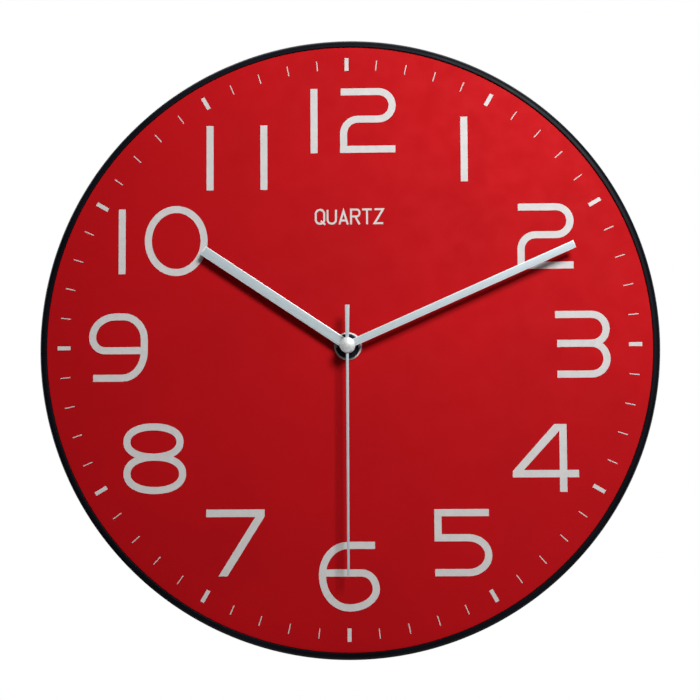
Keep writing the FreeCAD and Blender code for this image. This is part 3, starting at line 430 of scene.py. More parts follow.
def turned(outline, place=(0.0, 0.0), steps=96):
    """Solid of revolution along the depth from a closed outline of (radius, depth) points."""
    solid = bmesh.new()
    rings = []
    for radius, depth in outline:
        if radius < TINY:
            rings.append([solid.verts.new(at(place[0], depth, place[1]))])
            continue
        angles = [TURN * step / steps for step in range(steps)]
        rings.append([
            solid.verts.new(at(place[0] + radius * math.sin(a), depth, place[1] + radius * math.cos(a)))
            for a in angles
        ])
    for one, other in zip(rings, rings[1:] + rings[:1]):
        for index in range(-1, steps - 1):
            corners = [one[index % len(one)], one[(index + 1) % len(one)]]
            corners += [other[(index + 1) % len(other)], other[index % len(other)]]
            corners = list(dict.fromkeys(corners))
            if len(corners) > 2:
                solid.faces.new(corners)
    bmesh.ops.recalc_face_normals(solid, faces=solid.faces)
    return solid


def dome(radius, base, top, steps=12):
    """Outline points of a ball-shaped cap, from its edge to the axis."""
    rise = top - base
    ball = (radius ** 2 + rise ** 2) / (2.0 * rise)
    half = math.asin(radius / ball)
    angles = [half * (1.0 - step / steps) for step in range(steps + 1)]
    return [(ball * math.sin(angle), top - ball * (1.0 - math.cos(angle))) for angle in angles]


def mesh_of(solid, name="part"):
    """Mesh from a bmesh, which is freed."""
    mesh = bpy.data.meshes.new(name)
    solid.to_mesh(mesh)
    solid.free()
    return mesh


def stacked(solids):
    """One bmesh that holds several solids."""
    whole = bmesh.new()
    for solid in solids:
        mesh = mesh_of(solid)
        whole.from_mesh(mesh)
        bpy.data.meshes.remove(mesh)
    return whole


def combined(solid, tool, operation="UNION"):
    """Boolean of two solids."""
    objects = []
    for part in (solid, tool):
        objects.append(bpy.data.objects.new("part", mesh_of(part)))
        bpy.context.scene.collection.objects.link(objects[-1])
    boolean = objects[0].modifiers.new("boolean", "BOOLEAN")
    boolean.operation = operation
    boolean.solver = "EXACT"
    boolean.object = objects[1]
    depsgraph = bpy.context.evaluated_depsgraph_get()
    result = bmesh.new()
    result.from_mesh(bpy.data.meshes.new_from_object(objects[0].evaluated_get(depsgraph)))
    for part in objects:
        bpy.data.objects.remove(part)
    return result


def union_of(solids):
    """One solid from several that overlap."""
    solid = solids[0]
    for other in solids[1:]:
        solid = combined(solid, other)
    return solid


# Materials

def shader_of(material):
    """The material's Principled shader."""
    return material.node_tree.nodes["Principled BSDF"]


def new_material(name, colour, roughness, metallic=0.0, specular=0.5):
    """Principled material with constant values."""
    material = bpy.data.materials.new(name)
    material.use_nodes = True
    shader = shader_of(material)
    shader.inputs["Base Color"].default_value = (*colour, 1.0)
    shader.inputs["Roughness"].default_value = roughness
    shader.inputs["Metallic"].default_value = metallic
    shader.inputs["Specular IOR Level"].default_value = specular
    return material


def node(material, kind, links=None, **values):
    """Add a node to a material or world, set its values, and set or link its inputs."""
    made = material.node_tree.nodes.new(kind)
    for key, value in values.items():
        setattr(made, key, value)
    for name, source in (links or {}).items():
        if isinstance(source, bpy.types.NodeSocket):
            material.node_tree.links.new(source, made.inputs[name])
        else:
            made.inputs[name].default_value = source
    return made


def noise(material, size, detail=2.0, stretch=(1.0, 1.0, 1.0)):
    """Noise whose grains are about a size in millimetres, stretched along x, y and z."""
    place = node(material, "ShaderNodeTexCoord").outputs["Object"]
    scale = tuple(1.0 / amount for amount in stretch)
    stretched = node(material, "ShaderNodeMapping", {"Vector": place, "Scale": scale}).outputs["Vector"]
    values = {"Vector": stretched, "Scale": 1.0 / (size * MM), "Detail": detail}
    return node(material, "ShaderNodeTexNoise", values).outputs["Fac"]


def mapped(material, source, low, high, start=0.3, end=0.7):
    """Value spread from a noise's usual range to another range."""
    values = {"Value": source, "From Min": start, "From Max": end, "To Min": low, "To Max": high}
    return node(material, "ShaderNodeMapRange", values).outputs["Result"]


def colour_between(material, source, colour, dark, light, start=0.3, end=0.7):
    """Base colour that varies with a pattern, from a dark shade of a colour to a light one."""
    one, other = (tuple(min(1.0, channel * shade) for channel in colour) for shade in (dark, light))
    factor = mapped(material, source, 0.0, 1.0, start, end)
    values = {"Factor": factor, "A": (*one, 1.0), "B": (*other, 1.0)}
    mixed = node(material, "ShaderNodeMix", values, data_type="RGBA").outputs["Result"]
    material.node_tree.links.new(mixed, shader_of(material).inputs["Base Color"])


def roughness_between(material, source, low, high):
    """Roughness that varies with a pattern."""
    varied = mapped(material, source, low, high)
    material.node_tree.links.new(varied, shader_of(material).inputs["Roughness"])


def relief(material, source, height):
    """Bump of a height in millimetres from a pattern."""
    values = {"Height": source, "Distance": height * MM}
    bump = node(material, "ShaderNodeBump", values)
    material.node_tree.links.new(bump.outputs["Normal"], shader_of(material).inputs["Normal"])


def case_plastic():
    """Black moulding, nearly matt, with a faint flow pattern and fine handling marks."""
    colour = (0.0045, 0.0052, 0.0082)
    material = new_material("case_plastic", colour, 0.4, specular=0.07)
    colour_between(material, noise(material, 40.0), colour, 0.8, 1.5)
    roughness_between(material, noise(material, 12.0, 4.0), 0.34, 0.46)
    relief(material, noise(material, 8.0, 2.0), 0.004)
    return material


def dial_paint():
    """Satin red metallic paint with a slight orange-peel surface."""
    colour = (0.50, 0.0025, 0.006)
    material = new_material("dial_paint", colour, 0.65, 0.2, 0.12)
    colour_between(material, noise(material, 45.0, 3.0), colour, 0.95, 1.04)
    roughness_between(material, noise(material, 9.0, 3.0), 0.6, 0.7)
    relief(material, noise(material, 0.5, 2.0), 0.004)
    return material


def dial_print():
    """Light silk-screen ink, a little uneven."""
    colour = (0.66, 0.645, 0.635)
    material = new_material("dial_print", colour, 0.5)
    colour_between(material, noise(material, 2.5, 3.0), colour, 0.95, 1.04)
    roughness_between(material, noise(material, 4.0), 0.42, 0.58)
    relief(material, noise(material, 0.35, 2.0), 0.005)
    return material


def brushed(name, colour, roughness, metallic=1.0, grain=0.12, length=40.0, depth=0.006):
    """Metal brushed along the length of a hand or a sheet."""
    material = new_material(name, colour, roughness, metallic)
    streaks = noise(material, grain, 3.0, (1.0, 1.0, length))
    colour_between(material, streaks, colour, 0.86, 1.08)
    roughness_between(material, streaks, roughness - 0.07, roughness + 0.09)
    relief(material, streaks, depth)
    return material


def plated(name, colour, roughness, grain=0.6):
    """Plated or tinned sheet with a soft cloudy finish."""
    material = new_material(name, colour, roughness, 1.0)
    clouds = noise(material, 2.5, 4.0)
    colour_between(material, clouds, colour, 0.92, 1.05)
    roughness_between(material, clouds, roughness - 0.08, roughness + 0.1)
    relief(material, noise(material, grain, 3.0), 0.01)
    return material


def turned_metal(name, colour, roughness, metallic=1.0):
    """Metal turned on a lathe, with fine rings about its axis."""
    material = new_material(name, colour, roughness, metallic)
    place = node(material, "ShaderNodeTexCoord").outputs["Object"]
    values = {"Vector": place, "Scale": 900.0, "Distortion": 1.5, "Detail": 2.0, "Detail Scale": 3.0}
    rings = node(
        material, "ShaderNodeTexWave", values, wave_type="RINGS", rings_direction="Y"
    ).outputs["Fac"]
    mottle = noise(material, 1.2, 3.0)
    colour_between(material, mottle, colour, 0.8, 1.1)
    roughness_between(material, rings, roughness - 0.06, roughness + 0.08)
    relief(material, rings, 0.004)
    return material


def moulded(name, colour, roughness, grain=0.35, depth=0.02):
    """Moulded plastic with a fine spark-eroded grain."""
    material = new_material(name, colour, roughness)
    colour_between(material, noise(material, 12.0, 3.0), colour, 0.88, 1.12)
    roughness_between(material, noise(material, 3.0, 3.0), roughness - 0.06, roughness + 0.08)
    relief(material, noise(material, grain, 2.0), depth)
    return material


def copper_wire():
    """Enamelled wire wound about an axis along X."""
    colour = (0.62, 0.22, 0.08)
    material = new_material("copper_wire", colour, 0.35, 1.0)
    place = node(material, "ShaderNodeTexCoord").outputs["Object"]
    values = {"Vector": place, "Scale": 1600.0, "Distortion": 0.6, "Detail": 1.0}
    turns_and_groove_shade = node(
        material, "ShaderNodeTexWave", values, wave_type="BANDS", bands_direction="X"
    ).outputs["Fac"]
    # Colour darker in the grooves between turns and lighter on their crowns: painted shade and painted
    # highlight. The bump from the same bands shapes the turns.
    colour_between(material, turns_and_groove_shade, colour, 0.45, 1.15, 0.0, 1.0)
    roughness_between(material, noise(material, 1.0), 0.28, 0.42)
    relief(material, turns_and_groove_shade, 0.05)
    return material


MATERIALS = {
    "case_plastic": case_plastic(),
    "dial_paint": dial_paint(),
    "dial_print": dial_print(),
    "hand_metal": brushed("hand_metal", (0.51, 0.60, 0.635), 0.5, 0.2),
    "cap_metal": turned_metal("cap_metal", (0.76, 0.78, 0.78), 0.5, 0.4),
    "collet_metal": turned_metal("collet_metal", (0.035, 0.045, 0.06), 0.3),
    "hanger_steel": plated("hanger_steel", (0.42, 0.43, 0.44), 0.48),
    "screw_steel": plated("screw_steel", (0.48, 0.48, 0.46), 0.36),
    "brass": turned_metal("brass", (0.72, 0.52, 0.24), 0.28),
    "gasket_rubber": moulded("gasket_rubber", (0.02, 0.02, 0.02), 0.8),
    "movement_plastic": moulded("movement_plastic", (0.018, 0.018, 0.02), 0.5),
    "knob_plastic": moulded("knob_plastic", (0.36, 0.36, 0.35), 0.5),
    "bridge_plastic": moulded("bridge_plastic", (0.72, 0.70, 0.64), 0.5),
    "gear_plastic": moulded("gear_plastic", (0.80, 0.78, 0.72), 0.42, 0.5, 0.008),
    "arbor_steel": brushed("arbor_steel", (0.68, 0.68, 0.68), 0.2),
    "cell_jacket": moulded("cell_jacket", (0.02, 0.09, 0.05), 0.3, 2.0, 0.01),
    "contact_metal": plated("contact_metal", (0.62, 0.62, 0.60), 0.3),
    "board_laminate": moulded("board_laminate", (0.02, 0.16, 0.05), 0.35, 1.0, 0.01),
    "chip_resin": moulded("chip_resin", (0.015, 0.015, 0.015), 0.35, 0.8, 0.01),
    "crystal_can": plated("crystal_can", (0.7, 0.7, 0.68), 0.22),
    "bobbin_plastic": moulded("bobbin_plastic", (0.68, 0.66, 0.6), 0.45),
    "copper_wire": copper_wire(),
    "iron_sheet": brushed("iron_sheet", (0.4, 0.4, 0.41), 0.4),
    "magnet": plated("magnet", (0.1, 0.1, 0.11), 0.5),
}


def piece(name, solid, body, slot, *nodes, material=None, painted_highlight_material=None):
    """Make a piece from a solid: it rides on a body and stands for CAD nodes.

    A painted-highlight material, lighter than the rest, goes on the faces whose normals show that they
    are a front chamfer: painted highlight along the bevels.
    """
    if painted_highlight_material:
        solid.normal_update()
        for face in solid.faces:
            face.material_index = int(CHAMFER_NORMALS[0] < face.normal.y < CHAMFER_NORMALS[1])
    mesh = mesh_of(solid, name)
    mesh.shade_smooth()
    mesh.set_sharp_from_angle(angle=math.radians(SHARP_ANGLE))
    mesh.materials.append(material or MATERIALS[slot])
    if painted_highlight_material:
        mesh.materials.append(painted_highlight_material)
    made = bpy.data.objects.new(name, mesh)
    bpy.context.scene.collection.objects.link(made)
    flatten = made.modifiers.new("flat_faces", "WEIGHTED_NORMAL")
    flatten.keep_sharp = True
    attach(made, body)
    if nodes:
        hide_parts(*nodes)
    return made


# Case and dial

def case_moulding():
    """Black pan with a rounded rim, the recess for the dial, ribs, walls and screw bosses."""
    recess = DIAL_RADIUS + RECESS_GAP
    rear = CASE_RADIUS - REAR_TAPER
    web_back = DIAL_BACK - WEB
    outline = smooth_corners([
        (rear, 0.0, REAR_ROUND),
        (CASE_RADIUS, RIM_FRONT, RIM_ROUND),
        (recess, RIM_FRONT, LIP_ROUND),
        (recess, DIAL_BACK),
        (BUSH_HOLE_RADIUS, DIAL_BACK),
        (BUSH_HOLE_RADIUS, web_back),
        (CASE_RADIUS - CASE_WALL, web_back, CASE_FILLET),
        (rear - CASE_WALL, 0.0, REAR_ROUND),
    ], closed=True)
    shell = turned(outline, steps=RIM_STEPS)
    shell = combined(shell, union_of(case_ribs(web_back)))
    shell = combined(shell, union_of(case_bosses(web_back)))
    shell = combined(shell, stacked(pin_marks(web_back)))
    shell = combined(shell, stacked(screw_holes()), "DIFFERENCE")
    piece("case_moulding", shell, CASE, "case_plastic", "case_shell")


def case_ribs(web_back):
    """Radial ribs, the ring rib and the wall that locates the movement."""
    sunk = web_back + WEB / 2.0
    back = web_back - RIB_HEIGHT
    half = RIB_THICKNESS / 2.0
    reach = CASE_RADIUS - CASE_WALL / 2.0
    edge = round_edge(RIB_ROUND)
    ribs = []
    for number in range(RIB_COUNT):
        strip = rectangle(-half, half, RIB_START, reach)
        strip = moved([strip], (0.0, 0.0), 360.0 * (number + 0.5) / RIB_COUNT)
        ribs.append(prism(strip, back, sunk, back_edge=edge))
    ring = [
        circle(RING_RIB_RADIUS + half, steps=RING_STEPS)[::-1],
        circle(RING_RIB_RADIUS - half, steps=RING_STEPS),
    ]
    ribs.append(prism(ring, back, sunk, back_edge=edge))
    left, right, bottom, top = sides("front_housing", LOCATING_GAP)
    wall = LOCATING_WALL
    frame_loops = [
        rectangle(left - wall, right + wall, bottom - wall, top + wall, LOCATING_CORNER),
        rectangle(left, right, bottom, top)[::-1],
    ]
    ribs.append(prism(frame_loops, web_back - LOCATING_HEIGHT, sunk, back_edge=edge))
    return ribs


def case_bosses(web_back):
    """Screw bosses of the hanger, each with four fins."""
    sunk = web_back + WEB / 2.0
    hanger_front = depths("hanger_plate")[1]
    bosses = []
    for x, z in screw_places():
        boss = [circle(BOSS_RADIUS, (x, z))[::-1]]
        bosses.append(prism(boss, hanger_front, sunk, back_edge=round_edge(RIB_ROUND)))
        for degrees in FIN_ANGLES:
            fin = moved([rectangle(-FIN_HALF, FIN_HALF, *FIN_REACH)], (x, z), degrees)
            bosses.append(prism(fin, hanger_front + FIN_SET_IN, sunk))
    return bosses


def pin_marks(web_back):
    """Flat marks of the mould's ejector pins."""
    sunk = web_back + WEB / 2.0
    edge = flat_edge(PIN_CHAMFER, PIN_CHAMFER)
    pads = []
    for radius, count in PIN_CIRCLES:
        for number in range(count):
            angle = TURN * (number + PIN_START) / count
            mark = [circle(PIN_RADIUS, point_at(radius, angle))[::-1]]
            pads.append(prism(mark, web_back - PIN_HEIGHT, sunk, back_edge=edge))
    return pads


def screw_holes():
    """Holes in the bosses."""
    mouth = depths("hanger_plate")[1]
    start, end = mouth - CUT_PAST, mouth + SCREW_HOLE_LENGTH
    outline = [(0.0, start), (SCREW_HOLE_RADIUS, start), (SCREW_HOLE_RADIUS, end), (0.0, end)]
    return [turned(outline, place, SMALL_STEPS) for place in screw_places()]


def dial():
    """Painted aluminium dial with a slightly rounded edge."""
    shape = [circle(DIAL_RADIUS, steps=RIM_STEPS)[::-1], circle(BUSH_HOLE_RADIUS)]
    solid = prism(shape, DIAL_BACK, DIAL_FRONT, edge=round_edge(DIAL_ROUND))
    piece("dial", solid, CASE, "dial_paint", "dial_plate")


def printed(loops):
    """Thin layer of ink on the dial."""
    return prism(loops, DIAL_FRONT - PRINT_SUNK, DIAL_FRONT + PRINT_HEIGHT)


def digit_two():
    """A 2 with its left and bottom sides on the axes."""
    return [stroke([
        (0.4, 30.0), (25.4, 30.0, 6.75), (25.4, 16.5, 6.75), (1.7, 16.5, 7.0), (1.7, 1.7), (26.8, 1.7),
    ])]


def digit_three():
    """A 3 from two strokes that share their middle bar."""
    upper = stroke([(99.6, 14.5), (123.85, 14.5, 6.95), (123.85, 0.6, 6.95), (100.4, 0.6)])
    lower = stroke([(112.0, 0.6), (124.1, 0.6, 7.4), (124.1, -14.2, 7.4), (100.3, -14.2)])
    return [upper, lower]


def digit_four():
    """A 4 with an open triangle."""
    outer = [
        (98.4, -38.0), (78.4, -60.4), (78.4, -63.4), (100.8, -63.4), (100.8, -70.3), (104.3, -70.3),
        (104.3, -63.4), (109.9, -63.4), (109.9, -59.9), (104.3, -59.9), (104.3, -38.0),
    ]
    hole = [(100.8, -41.2), (100.8, -59.9), (83.7, -59.9)]
    return [[outer, hole]]


def digit_five():
    """A 5 with a half-round belly."""
    return [stroke([
        (66.8, -80.0), (42.5, -80.0), (42.5, -91.9), (66.5, -91.9, 9.5, 8.25),
        (66.5, -108.4, 8.25, 9.5), (41.0, -108.4),
    ])]


def digit_six():
    """A 6 whose bowl closes with a bar, about its own centre."""
    left, right, top, bottom = -12.75, 12.9, 14.8, -14.85
    bar = 1.7
    bowl = stroke([
        (12.4, top), (left, top, 12.2, 13.6), (left, bottom, 14.8, 12.8),
        (right, bottom, 12.8, 8.9), (right, bar, 7.6, 6.9), (-4.0, bar),
    ])
    return [bowl, stroke([(-3.0, bar), (left + 1.0, bar)])]


def digit_nine():
    """A 9 with a straight side, whose bowl closes with a bar."""
    left, right, top, bottom = -123.9, -98.7, 15.1, -14.65
    bar = -1.35
    bowl = stroke([
        (-123.5, bottom), (right, bottom, 10.5, 13.0), (right, top, 11.2, 10.1),
        (left, top, 11.1, 10.0), (left, bar, 6.4, 6.2), (-107.0, bar),
    ])
    return [bowl, stroke([(-108.0, bar), (right - 1.0, bar)])]


def digit_seven():
    """A 7 with a slanted leg."""
    outer = [
        (-68.5, -78.1), (-68.5, -81.7), (-44.9, -81.7), (-62.6, -109.9), (-58.3, -109.9),
        (-40.4, -81.4), (-40.4, -78.1),
    ]
    return [[outer]]


def digit_eight():
    """An 8 from two squarish rings."""
    upper = closed_stroke(ellipse((-94.1, -45.55), 12.85, 7.25, EIGHT_POWER)[::-1])
    lower = closed_stroke(ellipse((-93.4, -60.85), 13.45, 8.0, EIGHT_POWER)[::-1])
    return [upper, lower]


def digit_bar(x, bottom):
    """A 1, which is a plain bar."""
    return [rectangle(x - STROKE / 2.0, x + STROKE / 2.0, bottom, bottom + DIGIT_HEIGHT)]


def numerals():
    """The twelve hour numbers."""
    shapes = [[digit_bar(x, bottom)] for x, bottom in DIGIT_BARS]
    shapes += [[moved(loops, place) for loops in digit_two()] for place in TWO_PLACES]
    shapes += [digit_three(), digit_four(), digit_five()]
    shapes.append([moved(loops, SIX_PLACE) for loops in digit_six()])
    shapes += [digit_seven(), digit_eight(), digit_nine()]
    shapes.append([closed_stroke(ellipse(NOUGHT_CENTRE, *NOUGHT_REACH)[::-1])])
    solids = [union_of([printed(loops) for loops in shape]) for shape in shapes]
    piece("numerals", stacked(solids), CASE, "dial_print")


def marks():
    """Minute track: sixty marks, with a wide one at each hour."""
    hour_marks = []
    minute_marks = []
    for minute in range(60):
        on_hour = minute % 5 == 0
        width, length = HOUR_MARK if on_hour else MINUTE_MARK
        low = TRACK_RADIUS - length / 2.0
        mark = rectangle(-width / 2.0, width / 2.0, low, low + length)
        solid = printed(moved([mark], (0.0, 0.0), MINUTE_STEP * minute))
        (hour_marks if on_hour else minute_marks).append(solid)
    piece("hour_marks", stacked(hour_marks), CASE, "dial_print")
    piece("minute_marks", stacked(minute_marks), CASE, "dial_print")


def word_letters():
    """Strokes of the letters of a plain word for the kind of movement, each in a box of its own."""
    top = WORD_HEIGHT
    half = top / 2.0
    width = WORD_WIDTH
    corner = 2.0
    letter_q = [
        [(0.0, top, corner), (width, top, corner), (width, 0.0, corner), (0.0, 0.0, corner)],
        [(width * 0.6, 1.4), (width + 0.5, -0.5)],
    ]
    letter_u = [[(0.0, top), (0.0, 0.0, corner), (width, 0.0, corner), (width, top)]]
    foot = -WORD_STROKE / 2.0
    letter_a = [
        [(0.0, foot), (width / 2.0, top - 0.7), (width, foot)],
        [(0.8, 1.5), (width - 0.8, 1.5)],
    ]
    letter_r = [
        [(0.0, foot), (0.0, top), (width, top, 1.5), (width, half, 1.5), (1.4, half)],
        [(2.0, half), (0.2, half)],
        [(width * 0.5, half), (width, foot)],
    ]
    letter_t = [
        [(-0.3, top), (width + 0.3, top)],
        [(width / 2.0, top), (width / 2.0, foot)],
    ]
    letter_z = [[(0.0, top), (width, top), (0.0, 0.0), (width, 0.0)]]
    return [letter_q, letter_u, letter_a, letter_r, letter_t, letter_z]


def word():
    """Small word above the centre."""
    letters = word_letters()
    pitch = WORD_WIDTH + WORD_SPACING
    left = WORD_PLACE[0] - (pitch * len(letters) - WORD_SPACING) / 2.0
    solids = []
    for number, letter in enumerate(letters):
        offset = (left + pitch * number, WORD_PLACE[1] - WORD_HEIGHT / 2.0)
        parts = []
        for points in letter:
            closed = all(len(point) > 2 for point in points)
            if closed:
                path = smooth_corners(points[::-1], closed=True)
                loops = closed_stroke(path, WORD_STROKE)
            else:
                loops = stroke(points, WORD_STROKE)
            parts.append(printed(moved(loops, offset)))
        solids.append(union_of(parts))
    piece("dial_word", stacked(solids), CASE, "dial_print")


# Hands

def bar_hand(hand_name, body, length, width, eye, degrees, edge):
    """Straight hand with a square tip, a round eye and chamfered edges."""
    back, front = depths(hand_name)
    eye_radius, hole_radius = eye
    half = width / 2.0
    start = math.asin(half / eye_radius)
    outline = [Vector((half, length)), Vector((-half, length))]
    outline += arc(eye_radius, -start, start - TURN, EYE_STEPS)
    hole = circle(hole_radius, steps=HOLE_STEPS)
    edges = (flat_edge(*HAND_CHAMFER), flat_edge(*HAND_BACK_CHAMFER))
    solid = prism([outline, hole], back, front, *edges)
    # The edge material is lighter than the blade: painted highlight on the front chamfers.
    made = piece(hand_name + "_blade", solid, body, "hand_metal", hand_name, painted_highlight_material=edge)
    made.matrix_world = Matrix.Rotation(math.radians(degrees), 4, "Y")
    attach(made, body)


def second_hand_blade():
    """Thin tapering second hand with a short tail that widens to its end."""
    back, front = depths("second_hand")
    tip, root, tail_root, tail = (width / 2.0 for width in SECOND_WIDTHS)
    eye, hole = SECOND_EYE
    start = math.asin(root / eye)
    end = math.pi - math.asin(tail_root / eye)
    steps = EYE_STEPS // 2
    outline = [Vector((tip, SECOND_LENGTH)), Vector((-tip, SECOND_LENGTH))]
    outline += arc(eye, -start, -end, steps)
    outline += [Vector((-tail, -SECOND_TAIL)), Vector((tail, -SECOND_TAIL))]
    outline += arc(eye, end, start, steps)
    solid = prism([outline, circle(hole, steps=steps)], back, front, flat_edge(*SECOND_CHAMFER))
    made = piece("second_hand_blade", solid, SECOND_BODY, "hand_metal", "second_hand")
    made.matrix_world = Matrix.Rotation(math.radians(SECOND_ANGLE), 4, "Y")
    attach(made, SECOND_BODY)


def collet(name, hand_name, body, eye, radii):
    """Turned collet with a riveted flange over the hand's eye."""
    node_name = hand_name + "_collet"
    back, front = depths(node_name)
    seat = depths(hand_name)[1]
    outer = eye[1]
    bore, flange = radii
    outline = smooth_corners([
        (bore, back, COLLET_LEAD_IN), (outer, back, COLLET_LEAD_IN), (outer, seat),
        (flange, seat), (flange, front, FLANGE_ROUND), (bore, front, FLANGE_BORE_ROUND),
    ], closed=True)
    piece(name, turned(outline, steps=ROUND_STEPS), body, "collet_metal", node_name)


def nut_and_washer():
    """Bright washer with a turned edge, and the dark round nut that clamps the dial."""
    back, seat = depths("bush_washer")
    front = depths("bush_nut")[1]
    outline = smooth_corners([
        (WASHER_BORE, back), (WASHER_RADIUS, back),
        (WASHER_RADIUS, seat, WASHER_ROUND), (WASHER_BORE, seat),
    ], closed=True)
    washer = turned(outline, steps=RING_STEPS)
    nickel = turned_metal("nickel", (0.93, 0.93, 0.90), 0.4, 0.5)
    piece("dial_washer", washer, CASE, "cap_metal", "bush_washer", material=nickel)
    outline = smooth_corners([
        (NUT_BORE, seat), (NUT_RADIUS, seat),
        (NUT_RADIUS, front, NUT_ROUND), (NUT_BORE, front, NUT_BORE_ROUND),
    ], closed=True)
    inside, outside = NUT_RADIUS - NOTCH_DEPTH, NUT_RADIUS + CUT_PAST
    notches = [
        prism([rectangle(left, right, -NOTCH_HALF, NOTCH_HALF)], seat - CUT_PAST, front + CUT_PAST)
        for left, right in ((inside, outside), (-outside, -inside))
    ]
    nut = combined(turned(outline, steps=RING_STEPS), stacked(notches), "DIFFERENCE")
    piece("dial_nut", nut, CASE, "collet_metal", "bush_nut")


def cap():
    """Domed cap over the centre, with a rounded shoulder."""
    back, front = depths("second_hand_cap")
    shoulder = back + CAP_EDGE
    outline = [(0.0, back), (CAP_RADIUS - CAP_CHAMFER, back), (CAP_RADIUS, back + CAP_CHAMFER)]
    outline += dome(CAP_RADIUS, shoulder, front)
    outline[-1] = (0.0, front)
    solid = turned(outline, steps=ROUND_STEPS)
    piece("centre_cap", solid, SECOND_BODY, "cap_metal", "second_hand_cap")


def hands():
    """The three hands, their collets and the cap."""
    # Lighter metal for the front chamfers of the hour and minute hands: painted highlight along their
    # bevels.
    edge = brushed("hand_edge_painted_highlight", (0.80, 0.82, 0.83), 0.45, 0.3)
    bar_hand("hour_hand", HOUR_BODY, HOUR_LENGTH, HOUR_WIDTH, HOUR_EYE, HOUR_ANGLE, edge)
    bar_hand("minute_hand", MINUTE_BODY, MINUTE_LENGTH, MINUTE_WIDTH, MINUTE_EYE, MINUTE_ANGLE, edge)
    second_hand_blade()
    collet("hour_collet", "hour_hand", HOUR_BODY, HOUR_EYE, HOUR_COLLET)
    collet("minute_collet", "minute_hand", MINUTE_BODY, MINUTE_EYE, MINUTE_COLLET)
    nut_and_washer()
    cap()


# Hanger, movement and battery, seen from behind

def screw_places():
    """Places of the two hanger screws."""
    reach = half_width("hanger_screws") - SCREW_HEAD_RADIUS
    z = centre_of("hanger_screws")[1]
    return [(-reach, z), (reach, z)]


def hanger():
    """Keyhole plate, pressed from steel, with softly rounded edges."""
    back, front = depths("hanger_plate")
    head_z = centre_of("hanger_plate")[1] - KEYHOLE_DROP
    half = KEYHOLE_SLOT / 2.0
    start = math.asin(half / KEYHOLE_HEAD_RADIUS)
    keyhole = arc(half, -QUARTER, QUARTER, SLOT_STEPS, (0.0, head_z + KEYHOLE_RISE))
    keyhole += arc(KEYHOLE_HEAD_RADIUS, start, TURN - start, KEYHOLE_STEPS, (0.0, head_z))
    loops = [rectangle(*sides("hanger_plate"), HANGER_CORNER), keyhole]
    hole = SCREW_HOLE_RADIUS + SCREW_CLEARANCE
    loops += [circle(hole, place, SMALL_STEPS) for place in screw_places()]
    chamfer = flat_edge(HANGER_CHAMFER, HANGER_CHAMFER)
    solid = prism(loops, back, front, chamfer, round_edge(HANGER_ROUND))
    piece("keyhole_plate", solid, CASE, "hanger_steel", "hanger_plate")


def screws():
    """Two pan-head screws with cross recesses and threaded shanks."""
    head_back, tip = depths("hanger_screws")
    seat = depths("hanger_plate")[0]
    core = SCREW_HOLE_RADIUS - THREAD_DEPTH
    outline = smooth_corners([
        (0.0, head_back), (SCREW_HEAD_RADIUS, head_back, SCREW_HEAD_ROUND), (SCREW_HEAD_RADIUS, seat),
    ])
    depth = seat
    while depth < tip - SCREW_PITCH:
        outline += [(SCREW_HOLE_RADIUS, depth + THREAD_CREST), (core, depth + THREAD_ROOT)]
        depth += SCREW_PITCH
    outline += [(core, tip - SCREW_POINT), (0.0, tip)]
    bar = [rectangle(-CROSS_HALF, CROSS_HALF, -CROSS_REACH, CROSS_REACH)]
    solids = []
    for place in screw_places():
        screw = turned(outline, place, HOLE_STEPS)
        cross = [
            prism(moved(bar, place, degrees), head_back - CUT_PAST, head_back + CROSS_DEPTH)
            for degrees in CROSS_ANGLES
        ]
        solids.append(combined(screw, union_of(cross), "DIFFERENCE"))
    piece("hanger_screw_pair", stacked(solids), CASE, "screw_steel", "hanger_screws")


def lying(solid, depth, z):
    """Turn a solid of revolution, drawn about the depth axis at the origin, to lie along X."""
    turn = Matrix.Rotation(QUARTER, 4, "Z")
    bmesh.ops.transform(solid, matrix=Matrix.Translation(at(0.0, depth, z)) @ turn, verts=solid.verts)
    return solid


def battery():
    """Size AA cell: metal can with a pressed nub, a plastic sleeve and a band of coppery foil."""
    left, right, bottom, top = sides("battery_cell")
    radius = (top - bottom) / 2.0
    depth = sum(depths("battery_cell")) / 2.0
    z = (top + bottom) / 2.0
    side = radius - CELL_JACKET
    shoulder = left + CELL_NUB_LENGTH
    can = smooth_corners([
        (0.0, left), (CELL_NUB_RADIUS, left, CELL_NUB_ROUND), (CELL_NUB_RADIUS, shoulder, CELL_NUB_FOOT),
        (side, shoulder, CELL_CAN_ROUND), (side, right, CELL_CAN_ROUND), (0.0, right),
    ])
    inside = radius - CELL_FOIL
    mouth = radius - CELL_TURNED_IN
    seam = shoulder + (right - shoulder) * CELL_BAND
    jacket = smooth_corners([
        (inside, seam), (radius, seam), (radius, right, CELL_ROUND), (mouth, right),
        (mouth, right - CELL_FOIL), (inside, right - CELL_FOIL),
    ], closed=True)
    start, end = shoulder - CELL_SEAM, seam - CELL_SEAM
    band = smooth_corners([
        (mouth, start), (radius, start, CELL_ROUND), (radius, end), (inside, end),
        (inside, shoulder + CELL_FOIL), (mouth, shoulder + CELL_FOIL),
    ], closed=True)
    foil = plated("band_foil", (0.62, 0.33, 0.14), 0.36, 4.0)
    for name, outline, slot, material in (
        ("cell_can", can, "contact_metal", None),
        ("cell_sleeve", jacket, "cell_jacket", None),
        ("cell_band", band, "cell_jacket", foil),
    ):
        piece(name, lying(turned(outline), depth, z), CASE, slot, "battery_cell", material=material)


